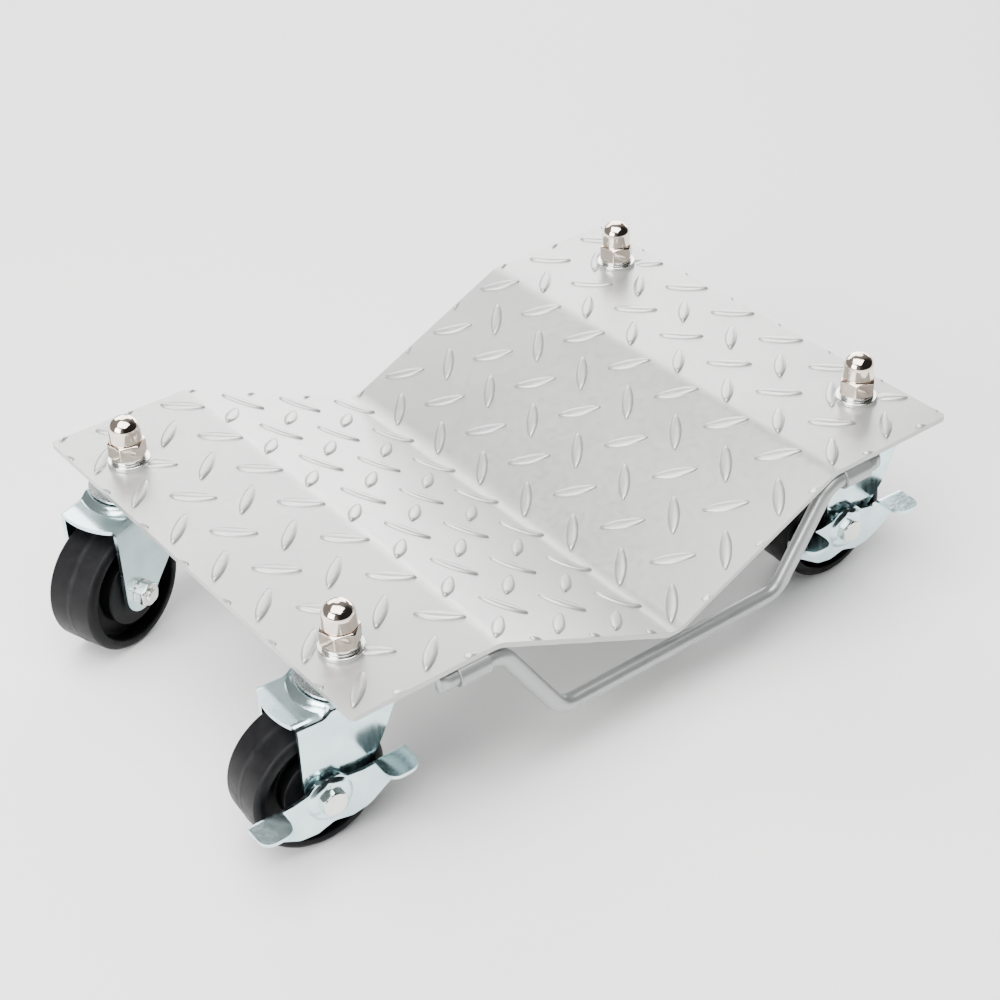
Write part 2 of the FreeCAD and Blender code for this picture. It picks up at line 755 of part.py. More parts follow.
casters = [
    ("near_left", -boltX, -boltY, size("yawNearLeft"), size("tiltNearLeft")),
    ("near_right", boltX, -boltY, size("yawNearRight"), size("tiltNearRight")),
    ("far_left", -boltX, boltY, size("yawFarLeft"), None),
    ("far_right", boltX, boltY, size("yawFarRight"), None),
]
toNear = FreeCAD.Rotation(FreeCAD.Vector(1, 0, 0), 90)
toFar = FreeCAD.Rotation(FreeCAD.Vector(1, 0, 0), -90)
legFace = size("forkHalf")
leverFace = legFace + size("leverGap") + size("leverSheet") + size("leverBossRise") + size("leverHeadGap")

for corner, x, y, yaw, tilt in casters:
    # what is clamped to the deck on the swivel axis
    place(makeCapNut("cap_nut_" + corner), x, y, deckTop + size("washerThick") + size("springThick"))
    place(makeSpringWasher("spring_washer_" + corner), x, y, deckTop + size("washerThick"))
    flat = tube("flat_washer_" + corner, "sizes.washerRadius", "sizes.washerBore", "sizes.washerThick")
    place(flat, x, y, deckTop)
    place(makeKingBolt("king_bolt_" + corner), x, y, size("kingHeadBase"))
    place(makeTopRace("top_race_" + corner), x, y)
    place(makeLowerRace("lower_race_" + corner), x, y, size("kingHeadBase") + size("kingHeadHeight"))

    # what turns with the fork
    swivel = FreeCAD.Placement(FreeCAD.Vector(x, y, 0), FreeCAD.Rotation(FreeCAD.Vector(0, 0, 1), yaw))
    axleAt = {"x": -size("trail"), "z": size("axleHeight"), "within": swivel}
    place(makeFork("fork_" + corner), within=swivel)
    upper = ballRing("upper_balls_" + corner, size("upperBallRadius"), size("upperBallPitch"),
                     size("upperBallHeight"), int(size("upperBallCount")))
    place(upper, within=swivel)
    lower = ballRing("lower_balls_" + corner, size("lowerBallRadius"), size("lowerBallPitch"),
                     size("lowerBallHeight"), int(size("lowerBallCount")))
    place(lower, within=swivel)
    sleeve = tube("axle_sleeve_" + corner, "sizes.sleeveRadius", "sizes.sleeveBore",
                  "(sizes.forkHalf - sizes.forkSheet) * 2")
    place(sleeve, y=-legFace + size("forkSheet"), rotation=toFar, **axleAt)
    nutEnd = "sizes.axleNutHeight + sizes.axleEnd"
    if tilt is None:
        bolt = makeAxleBolt("axle_bolt_" + corner, "sizes.forkHalf * 2 + " + nutEnd)
        place(bolt, y=legFace, rotation=toNear, **axleAt)
        place(makeAxleNut("axle_nut_" + corner), y=-legFace, rotation=toNear, **axleAt)
    else:
        lever = "sizes.leverGap + sizes.leverSheet + sizes.leverBossRise + sizes.leverHeadGap"
        clamp = "sizes.forkHalf * 2 + " + lever
        bolt = makeAxleBolt("axle_bolt_" + corner, clamp + " + " + nutEnd)
        place(bolt, y=-leverFace, rotation=toFar, **axleAt)
        place(makeAxleNut("axle_nut_" + corner), y=legFace, rotation=toFar, **axleAt)

    # what turns on the axle
    place(makeWheel("wheel_" + corner), **axleAt)
    if tilt is not None:
        tilted = FreeCAD.Rotation(FreeCAD.Vector(0, -1, 0), tilt)
        place(makeBrakeLever("brake_lever_" + corner), rotation=tilted, **axleAt)

doc.recompute()
faults = []
for item in doc.Objects:
    if "Invalid" in item.State or "Error" in item.State:
        faults.append(item.Name + " did not compute")
for node in nodes:
    if node.Shape.isNull() or not node.Shape.isValid() or not node.Shape.Solids:
        faults.append(node.Label + " has no valid shape")
if faults:
    raise RuntimeError("; ".join(faults))

os.makedirs("parts", exist_ok=True)
for node in nodes:
    node.Shape.exportStep("parts/" + node.Label + ".step")
    print(node.Label, "%.0f mm3" % node.Shape.Volume, len(node.Shape.Solids), "solids")
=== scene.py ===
import json
import math
import bmesh
import bpy
import numpy as np
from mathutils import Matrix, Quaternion, Vector


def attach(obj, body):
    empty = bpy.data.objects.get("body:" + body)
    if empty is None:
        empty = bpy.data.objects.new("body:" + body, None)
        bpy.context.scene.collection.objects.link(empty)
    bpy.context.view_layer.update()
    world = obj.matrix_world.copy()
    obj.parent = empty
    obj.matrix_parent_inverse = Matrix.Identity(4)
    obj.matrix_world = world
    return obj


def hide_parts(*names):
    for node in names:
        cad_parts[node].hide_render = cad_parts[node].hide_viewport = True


# Wheel dolly. Lengths are in millimetres and become metres when a mesh is made. A caster's own
# frame has its origin on the floor under the swivel axis, the wheel trails towards -X and the
# handle's side is -Y.

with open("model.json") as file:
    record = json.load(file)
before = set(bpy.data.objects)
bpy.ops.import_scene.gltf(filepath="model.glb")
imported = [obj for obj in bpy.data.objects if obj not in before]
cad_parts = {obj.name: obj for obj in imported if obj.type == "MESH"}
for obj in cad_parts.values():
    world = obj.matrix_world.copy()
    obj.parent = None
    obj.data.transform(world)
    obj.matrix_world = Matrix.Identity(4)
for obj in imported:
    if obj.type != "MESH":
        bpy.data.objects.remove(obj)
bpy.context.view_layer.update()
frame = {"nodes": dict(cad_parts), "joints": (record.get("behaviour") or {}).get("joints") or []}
joints = {joint["name"]: joint for joint in frame["joints"]}
corners = ["near_left", "near_right", "far_left", "far_right"]
mm = 0.001
mergeWithin = 2e-6  # metres: points closer than this are one point
leastEdge = 1e-7  # metres: a shorter edge is dissolved
roundFrom = 50  # degrees: edges folded more sharply than this are rounded
print("frame loaded,", len(frame["nodes"]), "parts")


# grids and outlines

def gridQuads(rows, columns, wrapRows=False, wrapColumns=False):
    # quads between neighbouring rows and columns of a grid of points
    i, j = np.meshgrid(np.arange(rows if wrapRows else rows - 1),
                       np.arange(columns if wrapColumns else columns - 1), indexing="ij")
    nextI, nextJ = (i + 1) % rows, (j + 1) % columns
    quads = [i * columns + j, nextI * columns + j, nextI * columns + nextJ, i * columns + nextJ]
    return np.stack(quads, -1).reshape(-1, 4)


def grid(points, wrapRows=False, wrapColumns=False):
    # rows and columns of points as one shape: a list of points and a list of quads
    return points.reshape(-1, 3), gridQuads(*points.shape[:2], wrapRows, wrapColumns)


def roundedLoop(spots, steps=5, hold=0.2):
    # a closed outline with each corner replaced by an arc that touches both its sides; a point
    # just before and after each arc keeps the flats flat in the shading
    spots = [tuple(spot) + (0,) * (3 - len(spot)) for spot in spots]
    run = []
    for index, (across, up, radius) in enumerate(spots):
        here = np.array([across, up], float)
        back = np.array(spots[index - 1][:2]) - here
        onward = np.array(spots[(index + 1) % len(spots)][:2]) - here
        if radius == 0:
            run.append(here[None])
            continue
        back = back / np.linalg.norm(back)
        onward = onward / np.linalg.norm(onward)
        half = math.acos(np.clip(back @ onward, -1, 1)) / 2
        centre = here + (back + onward) / np.linalg.norm(back + onward) * radius / math.sin(half)
        reach = radius / math.tan(half)
        start, end = here + back * reach - centre, here + onward * reach - centre
        first = math.atan2(start[1], start[0])
        turn = (math.atan2(end[1], end[0]) - first + math.pi) % (2 * math.pi) - math.pi
        angle = first + turn * np.linspace(0, 1, steps + 1)
        arc = centre + radius * np.stack([np.cos(angle), np.sin(angle)], -1)
        run.append(np.vstack([arc[:1] + back * hold, arc, arc[-1:] + onward * hold]))
    return np.concatenate(run)


def refined(loop, step, apart=0.02):
    # the same closed outline with extra points so that no side is longer than step, and no two
    # points nearer along it than apart
    closed = np.vstack([loop, loop[:1]])
    length = np.concatenate([[0], np.cumsum(np.hypot(*np.diff(closed, axis=0).T))])
    places = np.unique(np.concatenate([length, np.arange(0, length[-1], step)]))
    places = places[np.concatenate([np.diff(places) > apart, [False]])]
    return np.stack([np.interp(places, length, closed[:, k]) for k in (0, 1)], -1)


def smoothThrough(spots, count=12):
    # a curve through the points: each span is a cubic whose end slopes run along its neighbours
    spots = np.array(spots, float)
    ends = np.vstack([2 * spots[0] - spots[1], spots, 2 * spots[-1] - spots[-2]])
    t = np.linspace(0, 1, count, endpoint=False)[:, None]
    spans = []
    for a, b, c, d in zip(ends, ends[1:], ends[2:], ends[3:]):
        spans.append(b + (c - a) * t / 2 + (2 * a - 5 * b + 4 * c - d) * t ** 2 / 2
                     + (3 * b - a - 3 * c + d) * t ** 3 / 2)
    return np.vstack(spans + [spots[-1:]])


def turned(loop, steps=96):
    # an outline of (radius, height) carried round Z
    angle = np.linspace(0, 2 * math.pi, steps, endpoint=False)[:, None]
    radius, height = loop[:, 0], loop[:, 1]
    points = np.stack([radius * np.cos(angle), radius * np.sin(angle),
                       np.broadcast_to(height, (steps, len(loop)))], -1)
    return grid(points, True, True)


def capped(rings):
    # closes a run of rings: each end gets one more ring, shrunk to the middle of the last
    count = rings.shape[1]
    first, last = [ring.mean(1, keepdims=True).repeat(count, 1) for ring in (rings[:1], rings[-1:])]
    return np.concatenate([first, rings, last])


def hexTurned(loop, flats, sides=14, sharpness=60, blend=40, crowding=1.8):
    # an outline carried round Z and kept inside a hexagon: the hexagon's radius is a high power
    # mean of its six flats, so its corners are rounded, and the two radii join softly; points
    # crowd towards the corners by a power
    part = np.linspace(-1, 1, sides, endpoint=False)
    part = np.sign(part) * (1 - (1 - np.abs(part)) ** crowding) * math.pi / 6
    angle = (np.arange(6)[:, None] * math.pi / 3 + part).reshape(-1, 1)
    flat = np.cos(angle - np.arange(6) * math.pi / 3).clip(0)
    hexRadius = flats / 2 / (flat ** sharpness).sum(1, keepdims=True) ** (1 / sharpness)
    limit = loop[:, 0].clip(1e-6)[None]
    radius = (limit ** -blend + hexRadius ** -blend) ** (-1 / blend)
    points = np.stack([radius * np.cos(angle), radius * np.sin(angle),
                       np.broadcast_to(loop[:, 1], radius.shape)], -1)
    return grid(points, True, True)


def discInside(outline, radii, rise):
    # a sheet inside an outline round the middle: a point goes out along its ray to each radius
    # but no further than the outline, and rise gives its height
    angle = np.arctan2(outline[:, 1], outline[:, 0])[:, None]
    radius = np.minimum(np.array(radii, float)[None], np.hypot(*outline.T)[:, None])
    across, up = radius * np.cos(angle), radius * np.sin(angle)
    return grid(np.stack([across, up, rise(across, up)], -1), True, False)


def smoothStep(value):
    # from 0 to 1 with level ends: three squares less two cubes
    value = np.clip(value, 0, 1)
    return value * value * (3 - 2 * value)


def moved(shape, x=0, y=0, z=0):
    return shape[0] + np.array([x, y, z], float), shape[1]


def swapped(shape, first, second, third):
    # each new coordinate is an old one, counted from 1, with its sign
    order = np.array([first, second, third])
    return shape[0][:, np.abs(order) - 1] * np.sign(order), shape[1]


def spun(shape, degrees, axis=2):
    # turned about X, Y or Z, counted from 0
    a, b = [(1, 2), (2, 0), (0, 1)][axis]
    points = shape[0]
    cos, sin = math.cos(math.radians(degrees)), math.sin(math.radians(degrees))
    out = points.copy()
    out[:, a] = points[:, a] * cos - points[:, b] * sin
    out[:, b] = points[:, a] * sin + points[:, b] * cos
    return out, shape[1]


# casters, read from the frame's joints

def casterOf(corner):
    # heading is the turn of the wheel's axle round Z; a brake at rest is tilted by minus the middle
    # of its range
    swivel, roll = joints["swivel_" + corner], joints["roll_" + corner]
    at = np.array(swivel["pos_m"]) / mm
    axle = np.array(roll["pos_m"]) / mm
    heading = math.degrees(math.atan2(roll["axis"][0], -roll["axis"][1]))
    brake = joints.get("brake_" + corner)
    tilt = -sum(brake["range_deg"]) / 2 if brake else 0
    return {"x": at[0], "y": at[1], "heading": heading, "tilt": tilt, "braked": brake is not None,
            "trail": math.hypot(*(axle - at)[:2]), "axle": axle[2]}


casters = {corner: casterOf(corner) for corner in corners}


def onCaster(shape, corner):
    caster = casters[corner]
    return moved(spun(shape, caster["heading"]), caster["x"], caster["y"])


def addObject(name, data):
    made = bpy.data.objects.new(name, data)
    bpy.context.scene.collection.objects.link(made)
    return made


def roundEdges(piece, width, segments=2):
    edge = piece.modifiers.new("edge", "BEVEL")
    edge.width = width * mm
    edge.segments = segments
    edge.limit_method = "ANGLE"
    edge.angle_limit = math.radians(roundFrom)
    edge.harden_normals = True


def makePiece(name, shapes, body, finish, stands=(), sheet=0, bevel=0, sharp=38, notes=None):
    # joins the shapes, closes seams and poles, turns the faces outwards and hides the CAD parts it stands for
    points = np.concatenate([shape[0] for shape in shapes]) * mm
    starts = np.cumsum([0] + [len(shape[0]) for shape in shapes])
    quads = np.concatenate([shape[1] + start for shape, start in zip(shapes, starts)])
    mesh = bpy.data.meshes.new(name)
    mesh.from_pydata(points.tolist(), [], quads.tolist())
    for label, values in (notes or {}).items():
        attribute = mesh.attributes.new(label, "FLOAT", "POINT")
        attribute.data.foreach_set("value", values.astype(np.float32))
    work = bmesh.new()
    work.from_mesh(mesh)
    bmesh.ops.remove_doubles(work, verts=work.verts, dist=mergeWithin)
    bmesh.ops.dissolve_degenerate(work, edges=work.edges, dist=leastEdge)
    bmesh.ops.recalc_face_normals(work, faces=work.faces)
    middle = Vector(points.mean(0))
    outward = sum(face.normal.dot(face.calc_center_median() - middle) * face.calc_area()
                  for face in work.faces)
    if outward < 0:
        bmesh.ops.reverse_faces(work, faces=work.faces)
    work.to_mesh(mesh)
    work.free()
    mesh.shade_smooth()
    mesh.set_sharp_from_angle(angle=math.radians(sharp))
    piece = addObject(name, mesh)
    if sheet:
        wall = piece.modifiers.new("sheet", "SOLIDIFY")
        wall.thickness = sheet * mm
        wall.offset = -1
        wall.use_even_offset = True
    if bevel:
        roundEdges(piece, bevel)
    mesh.materials.append(finish)
    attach(piece, body)
    if stands:
        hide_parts(*stands)
    return piece


# materials

def toLinear(colour):
    # sRGB hex to the linear values that the shaders use, by the sRGB standard's own curve
    values = np.array([int(colour[k:k + 2], 16) for k in (1, 3, 5)]) / 255
    linear = np.where(values <= 0.04045, values / 12.92, ((values + 0.055) / 1.055) ** 2.4)
    return (*linear.tolist(), 1)


def addNode(tree, kind, settings=None, **inputs):
    # a node with its settings, and its inputs as values or links; an input's words are run together
    node = tree.nodes.new(kind)
    for name, value in (settings or {}).items():
        setattr(node, name, value)
    for name, value in inputs.items():
        socket = next(s for s in node.inputs if s.enabled and s.name.replace(" ", "") == name)
        if isinstance(value, bpy.types.NodeSocket):
            tree.links.new(value, socket)
        else:
            socket.default_value = value
    return node


def newMaterial(name, **values):
    # a material with values on its shader's own sockets
    material = bpy.data.materials.new(name)
    material.use_nodes = True
    tree = material.node_tree
    shader = tree.nodes["Principled BSDF"]
    for label, value in values.items():
        next(s for s in shader.inputs if s.name.replace(" ", "") == label).default_value = value
    where = addNode(tree, "ShaderNodeTexCoord").outputs["Object"]
    return material, tree, shader, where


def grain(tree, where, size, detail=3, stretch=(1, 1, 1), rough=0.5):
    # noise whose grains are about size millimetres across
    spread = addNode(tree, "ShaderNodeMapping", Vector=where, Scale=stretch).outputs[0]
    return addNode(tree, "ShaderNodeTexNoise", Vector=spread, Scale=1 / (size * mm), Detail=detail,
                   Roughness=rough).outputs[0]


def between(tree, value, low, high, fromLow=0.3, fromHigh=0.7):
    # noise mostly lies between fromLow and fromHigh, and is spread from low to high
    return addNode(tree, "ShaderNodeMapRange", Value=value, FromMin=fromLow, FromMax=fromHigh,
                   ToMin=low, ToMax=high).outputs[0]


def tinted(tree, value, first, second):
    mix = addNode(tree, "ShaderNodeMix", {"data_type": "RGBA"}, Factor=value)
    mix.inputs[6].default_value = toLinear(first)
    mix.inputs[7].default_value = toLinear(second)
    return mix.outputs[2]


def bumped(tree, height, depth, strength=0.5, under=None):
    # a bump depth millimetres deep, over the bump under it
    node = addNode(tree, "ShaderNodeBump", Height=height, Distance=depth * mm, Strength=strength)
    if under is not None:
        tree.links.new(under, node.inputs["Normal"])
    return node.outputs[0]


# in each dictionary of grains, sizes and depths are in millimetres

paintGrain = {"patches": 55, "flakes": 0.7, "haze": 4, "hazeRange": 0.05, "sparkle": 0.8,
              "sparkleDepth": 0.004, "peelDepth": 0.02, "coat": 0.12, "coatRoughness": 0.18}


def flakePaint(name, light, dark, roughness, peel, metallic):
    # baked aluminium-flake powder paint: satin silver whose tone follows the light, with a fine
    # sparkle and an orange peel that softens highlights; real flakes are finer than drawn here
    g = paintGrain
    material, tree, shader, where = newMaterial(name, Metallic=metallic, CoatWeight=g["coat"],
                                                CoatRoughness=g["coatRoughness"])
    patches = between(tree, grain(tree, where, g["patches"]), 0, 0.6)
    flakes = between(tree, grain(tree, where, g["flakes"], 1), 0, 0.4)
    blend = addNode(tree, "ShaderNodeMath", {"operation": "ADD"})
    tree.links.new(patches, blend.inputs[0])
    tree.links.new(flakes, blend.inputs[1])
    tree.links.new(tinted(tree, blend.outputs[0], light, dark), shader.inputs["Base Color"])
    haze = between(tree, grain(tree, where, g["haze"]), roughness - g["hazeRange"],
                   roughness + g["hazeRange"])
    tree.links.new(haze, shader.inputs["Roughness"])
    sparkle = bumped(tree, grain(tree, where, g["sparkle"], 1), g["sparkleDepth"])
    skin = bumped(tree, grain(tree, where, peel, 2), g["peelDepth"], under=sparkle)
    tree.links.new(skin, shader.inputs["Normal"])
    return material


zincGrain = {"clouds": 14, "pits": 0.9, "pitDepth": 0.002, "waves": 16, "waveDepth": 0.08,
             "streakStretch": (1, 1, 0.12)}


def zincPlate(name, light, dark, low, high, streak):
    # bright zinc plating with a blue passivate over rolled sheet: cloudy tint, soft streaks
    material, tree, shader, where = newMaterial(name, Metallic=1)
    g = zincGrain
    clouds = grain(tree, where, g["clouds"], 4)
    tree.links.new(tinted(tree, between(tree, clouds, 0, 1), light, dark), shader.inputs["Base Color"])
    streaks = grain(tree, where, streak, 4, g["streakStretch"])
    tree.links.new(between(tree, streaks, low, high), shader.inputs["Roughness"])
    pits = bumped(tree, grain(tree, where, g["pits"]), g["pitDepth"])
    waves = bumped(tree, grain(tree, where, g["waves"], 2), g["waveDepth"], under=pits)
    tree.links.new(waves, shader.inputs["Normal"])
    return material


nickelGrain = {"clouds": 7, "haze": 2, "low": 0.05, "high": 0.12, "waves": 4, "waveDepth": 0.02}


def polishedNickel(name, light, dark):
    # polished nickel plate on a dome nut: mirror-like and warm, with a faint haze
    material, tree, shader, where = newMaterial(name, Metallic=1)
    g = nickelGrain
    clouds = grain(tree, where, g["clouds"])
    tree.links.new(tinted(tree, between(tree, clouds, 0, 1), light, dark), shader.inputs["Base Color"])
    haze = between(tree, grain(tree, where, g["haze"]), g["low"], g["high"])
    tree.links.new(haze, shader.inputs["Roughness"])
    waves = bumped(tree, grain(tree, where, g["waves"], 2), g["waveDepth"])
    tree.links.new(waves, shader.inputs["Normal"])
    return material


steelGrain = {"clouds": 5, "haze": 1.2, "marks": 0.7, "markDepth": 0.005}


def turnedSteel(name, light, dark, low, high):
    # machined or rolled steel, plated thinly: fine tool marks and an even dull shine
    material, tree, shader, where = newMaterial(name, Metallic=1)
    g = steelGrain
    clouds = grain(tree, where, g["clouds"])
    tree.links.new(tinted(tree, between(tree, clouds, 0, 1), light, dark), shader.inputs["Base Color"])
    haze = between(tree, grain(tree, where, g["haze"]), low, high)
    tree.links.new(haze, shader.inputs["Roughness"])
    marks = bumped(tree, grain(tree, where, g["marks"], 2), g["markDepth"])
    tree.links.new(marks, shader.inputs["Normal"])
    return material


rubberGrain = {"patches": 8, "patchDepth": 0.12, "patchStrength": 0.4, "skin": 0.8, "skinDepth": 0.03,
               "low": 0.38, "high": 0.55, "leastDust": 0.1, "shine": 0.14}


def mouldedRubber(name, black, dust):
    # compression-moulded hard rubber: near black, dull, with dust caught along the tread's seam
    g = rubberGrain
    material, tree, shader, where = newMaterial(name, SpecularIORLevel=g["shine"])
    patches = grain(tree, where, g["patches"], 5, rough=0.65)
    seam = addNode(tree, "ShaderNodeAttribute", {"attribute_name": "dusty"}).outputs["Fac"]
    worn = addNode(tree, "ShaderNodeMath", {"operation": "MULTIPLY"})
    tree.links.new(seam, worn.inputs[0])
    tree.links.new(between(tree, patches, g["leastDust"], 1), worn.inputs[1])
    tree.links.new(tinted(tree, worn.outputs[0], black, dust), shader.inputs["Base Color"])
    tree.links.new(between(tree, patches, g["low"], g["high"]), shader.inputs["Roughness"])
    skin = bumped(tree, grain(tree, where, g["skin"]), g["skinDepth"])
    worked = bumped(tree, patches, g["patchDepth"], g["patchStrength"], skin)
    tree.links.new(worked, shader.inputs["Normal"])
    return material


deckPaint = flakePaint("silverFlakePowderPaint", "#bcbcba", "#afb0ae", 0.34, 2.2, 0.6)
handlePaint = flakePaint("greyFlakePowderPaint", "#a6a8a8", "#939595", 0.34, 1.8, 0.6)
pressedZinc = zincPlate("blueZincPlateRolledSheet", "#dcf0f3", "#c4dce0", 0.12, 0.22, 1.5)
boltZinc = zincPlate("brightZincPlateHardware", "#f0f0ec", "#d9dbd8", 0.12, 0.22, 0.8)
nickel = polishedNickel("polishedNickelPlate", "#efe2d6", "#dccbbd")
raceSteel = turnedSteel("platedSteelRace", "#d9dcdc", "#bcc2c3", 0.22, 0.36)
ballSteel = turnedSteel("lappedBallSteel", "#c9cbcc", "#b5b8ba", 0.08, 0.16)
wheelRubber = mouldedRubber("mouldedBlackRubber", "#08080a", "#2a2a2c")
print("materials made")


# deck: a folded sheet, worked out along its flat pattern

deck = {"halfLength": 203, "halfWidth": 152.5, "top": 103.5, "sheet": 3, "wing": 88, "drop": 53.1,
        "bend": 17, "bendPoints": 10, "corner": 3, "cornerPoints": 9, "bolt": 6.5, "boltSides": 48,
        "drill": 20, "edge": 0.8, "edgeSteps": 3, "foldSamples": 8000}
deckTurn = math.atan2(deck["drop"], deck["halfLength"] - deck["wing"])


def foldMarks():
    # distances from the seat line, along the top, at which each bend starts and ends
    slope = math.hypot(deck["drop"], deck["halfLength"] - deck["wing"])
    seatArc = deck["bend"] * deckTurn
    wingRadius = deck["bend"] + deck["sheet"]
    wingTangent = wingRadius * math.tan(deckTurn / 2)
    wingStart = seatArc + slope - wingTangent - deck["bend"] * math.tan(deckTurn)
    wingEnd = wingStart + wingRadius * deckTurn
    return seatArc, wingStart, wingEnd, wingEnd + deck["wing"] - wingTangent


seatArc, wingStart, wingEnd, flatHalf = foldMarks()


def foldAngle(along):
    rise = np.interp(np.abs(along), [0, seatArc, wingStart, wingEnd], [0, deckTurn, deckTurn, 0])
    return np.sign(along) * rise


def foldLine(along):
    # the deck's top in side view: the slope angle changes evenly through each bend, and X and Z
    # are the running sums of its cosine and sine
    fine = np.linspace(0, flatHalf, deck["foldSamples"])
    angle = foldAngle(fine)
    step = fine[1] - fine[0]
    x = np.concatenate([[0], np.cumsum((np.cos(angle[1:]) + np.cos(angle[:-1])) / 2) * step])
    z = np.concatenate([[0], np.cumsum((np.sin(angle[1:]) + np.sin(angle[:-1])) / 2) * step])
    z = z + deck["top"] - z[-1]
    return np.sign(along) * np.interp(np.abs(along), fine, x), np.interp(np.abs(along), fine, z)


def onDeck(along, across, height):
    # a point over the folded sheet, height above its top
    x, z = foldLine(along)
    angle = foldAngle(along)
    return np.stack([x - np.sin(angle) * height, across, z + np.cos(angle) * height], -1)


def makeDeck():
    # a four-cornered section carried along the fold line; near the ends its half width shrinks by
    # a quarter circle, which rounds the sheet's corners; the bolt holes are then drilled
    bends = [np.linspace(0, seatArc, deck["bendPoints"]), np.linspace(wingStart, wingEnd, deck["bendPoints"])]
    ends = flatHalf - deck["corner"] * (1 - np.sin(np.linspace(0, math.pi / 2, deck["cornerPoints"])))
    side = np.unique(np.concatenate(bends + [ends, [seatArc + 1, wingStart - 1, wingEnd + 1]]).round(4))
    along = np.concatenate([-side[::-1], side[1:]])
    inset = np.clip(np.abs(along) - flatHalf + deck["corner"], 0, deck["corner"])
    half = deck["halfWidth"] - deck["corner"] + np.sqrt(deck["corner"] ** 2 - inset ** 2)
    top = [onDeck(along, sign * half, 0) for sign in (-1, 1)]
    under = [onDeck(along, sign * half, -deck["sheet"]) for sign in (1, -1)]
    sheet = capped(np.stack(top + under, 1))
    piece = makePiece("foldedDeck", [grid(sheet, False, True)], "deck", deckPaint,
                      ["deck_plate"])
    for corner in corners:
        drill = bpy.data.meshes.new("drill")
        work = bmesh.new()
        bmesh.ops.create_cone(work, cap_ends=True, segments=deck["boltSides"],
                              radius1=deck["bolt"] * mm, radius2=deck["bolt"] * mm,
                              depth=deck["drill"] * mm)
        place = Vector((casters[corner]["x"], casters[corner]["y"], deck["top"])) * mm
        bmesh.ops.translate(work, verts=work.verts, vec=place)
        work.to_mesh(drill)
        work.free()
        tool = addObject("drill", drill)
        hole = piece.modifiers.new("hole", "BOOLEAN")
        hole.operation = "DIFFERENCE"
        hole.object = tool
        evaluated = piece.evaluated_get(bpy.context.evaluated_depsgraph_get())
        drilled = bpy.data.meshes.new_from_object(evaluated)
        piece.modifiers.clear()
        piece.data = drilled
        bpy.data.objects.remove(tool)
    roundEdges(piece, deck["edge"], deck["edgeSteps"])


lug = {"pitch": 42.3, "firstAlong": 13.9, "firstAcross": 15.1, "halfLength": 13.6, "halfWidth": 3.7,
       "height": 1.3, "flat": 7, "ends": 0.72, "tips": 30, "foot": -0.4, "footHalf": 0.5, "border": 0.35,
       "washer": 12.3, "points": 9, "sidePoints": 6, "beyond": 15, "mostlyOff": 0.85, "sharp": 75}


def makeLugs():
    # a lens-shaped lug with rounded ends: its half width falls with a power of one minus the square
    # of the place along it, its top is flat and drops steeply at the rim; neighbours lie at right
    # angles; what passes the sheet's border or a washer sinks into the sheet
    place = np.sin(np.linspace(-math.pi / 2, math.pi / 2, lug["points"]))
    side = np.sin(np.linspace(-math.pi / 2, math.pi / 2, lug["sidePoints"]))
    crown = (1 - np.abs(side) ** lug["flat"])[None] * (1 - np.abs(place) ** lug["tips"])[:, None] ** 0.5
    height = crown * lug["height"]
    height = np.concatenate([height, np.full((len(place), 2), lug["foot"])], 1)
    side = np.concatenate([side, [lug["footHalf"], -lug["footHalf"]]])
    length = place[:, None] * lug["halfLength"] + side[None] * 0
    width = side[None] * lug["halfWidth"] * (1 - place ** 2)[:, None] ** lug["ends"]
    limitS, limitY = flatHalf - lug["border"], deck["halfWidth"] - lug["border"]
    shapes = []
    for kind, slant in ((0, 1), (1, -1)):
        offset = kind * lug["pitch"] / 2
        alongs = np.arange(lug["firstAlong"] + offset - lug["pitch"], 2 * flatHalf + lug["beyond"],
                           lug["pitch"])
        acrosses = np.arange(lug["firstAcross"] + offset - lug["pitch"],
                             2 * deck["halfWidth"] + lug["beyond"], lug["pitch"])
        for s in alongs - flatHalf:
            for y in acrosses - deck["halfWidth"]:
                along = s + (length - width * slant) * math.sqrt(0.5)
                across = y + (length * slant + width) * math.sqrt(0.5)
                outside = (np.abs(along) > limitS) | (np.abs(across) > limitY)
                if outside.mean() > lug["mostlyOff"]:
                    continue
                rise = np.where(outside, lug["foot"], height)
                points = onDeck(along.clip(-limitS, limitS), across.clip(-limitY, limitY), rise)
                for corner in corners:
                    gone = np.hypot(points[..., 0] - casters[corner]["x"],
                                    points[..., 1] - casters[corner]["y"]) < lug["washer"]
                    points[..., 2] = np.where(gone, deck["top"] + lug["foot"], points[..., 2])
                shapes.append(grid(points, False, True))
    makePiece("treadLugs", shapes, "deck", deckPaint, sharp=lug["sharp"])
    print("deck made,", len(shapes), "lugs")


makeDeck()
makeLugs()


# what is clamped to the deck on each swivel axis

capNut = {"flats": 19, "bore": 6, "thread": 16, "face": 9.2, "corner": 11.3, "chamfer": 1.15,
          "hexHeight": 10, "grooveRadius": 8.3, "groove": 0.75, "barrel": 9.15, "dome": 8.45,
          "domeRound": 7.5, "height": 24.5, "turn": 12, "meshStep": 0.7}
washer = {"outer": 12, "bore": 6.3, "thick": 2.5, "round": 0.5, "boreRound": 0.3}
spring = {"outer": 9.8, "bore": 6.1, "thick": 2.0, "round": 0.55, "slit": 1.5,
          "steps": 100}
topRace = {"bore": 6.2, "crown": 11.6, "top": 100.5, "flank": 20.6, "brim": 24.6, "brimTop": 91.5,
           "brimLow": 90.2, "sheet": 2.0}
ringSteps = 120


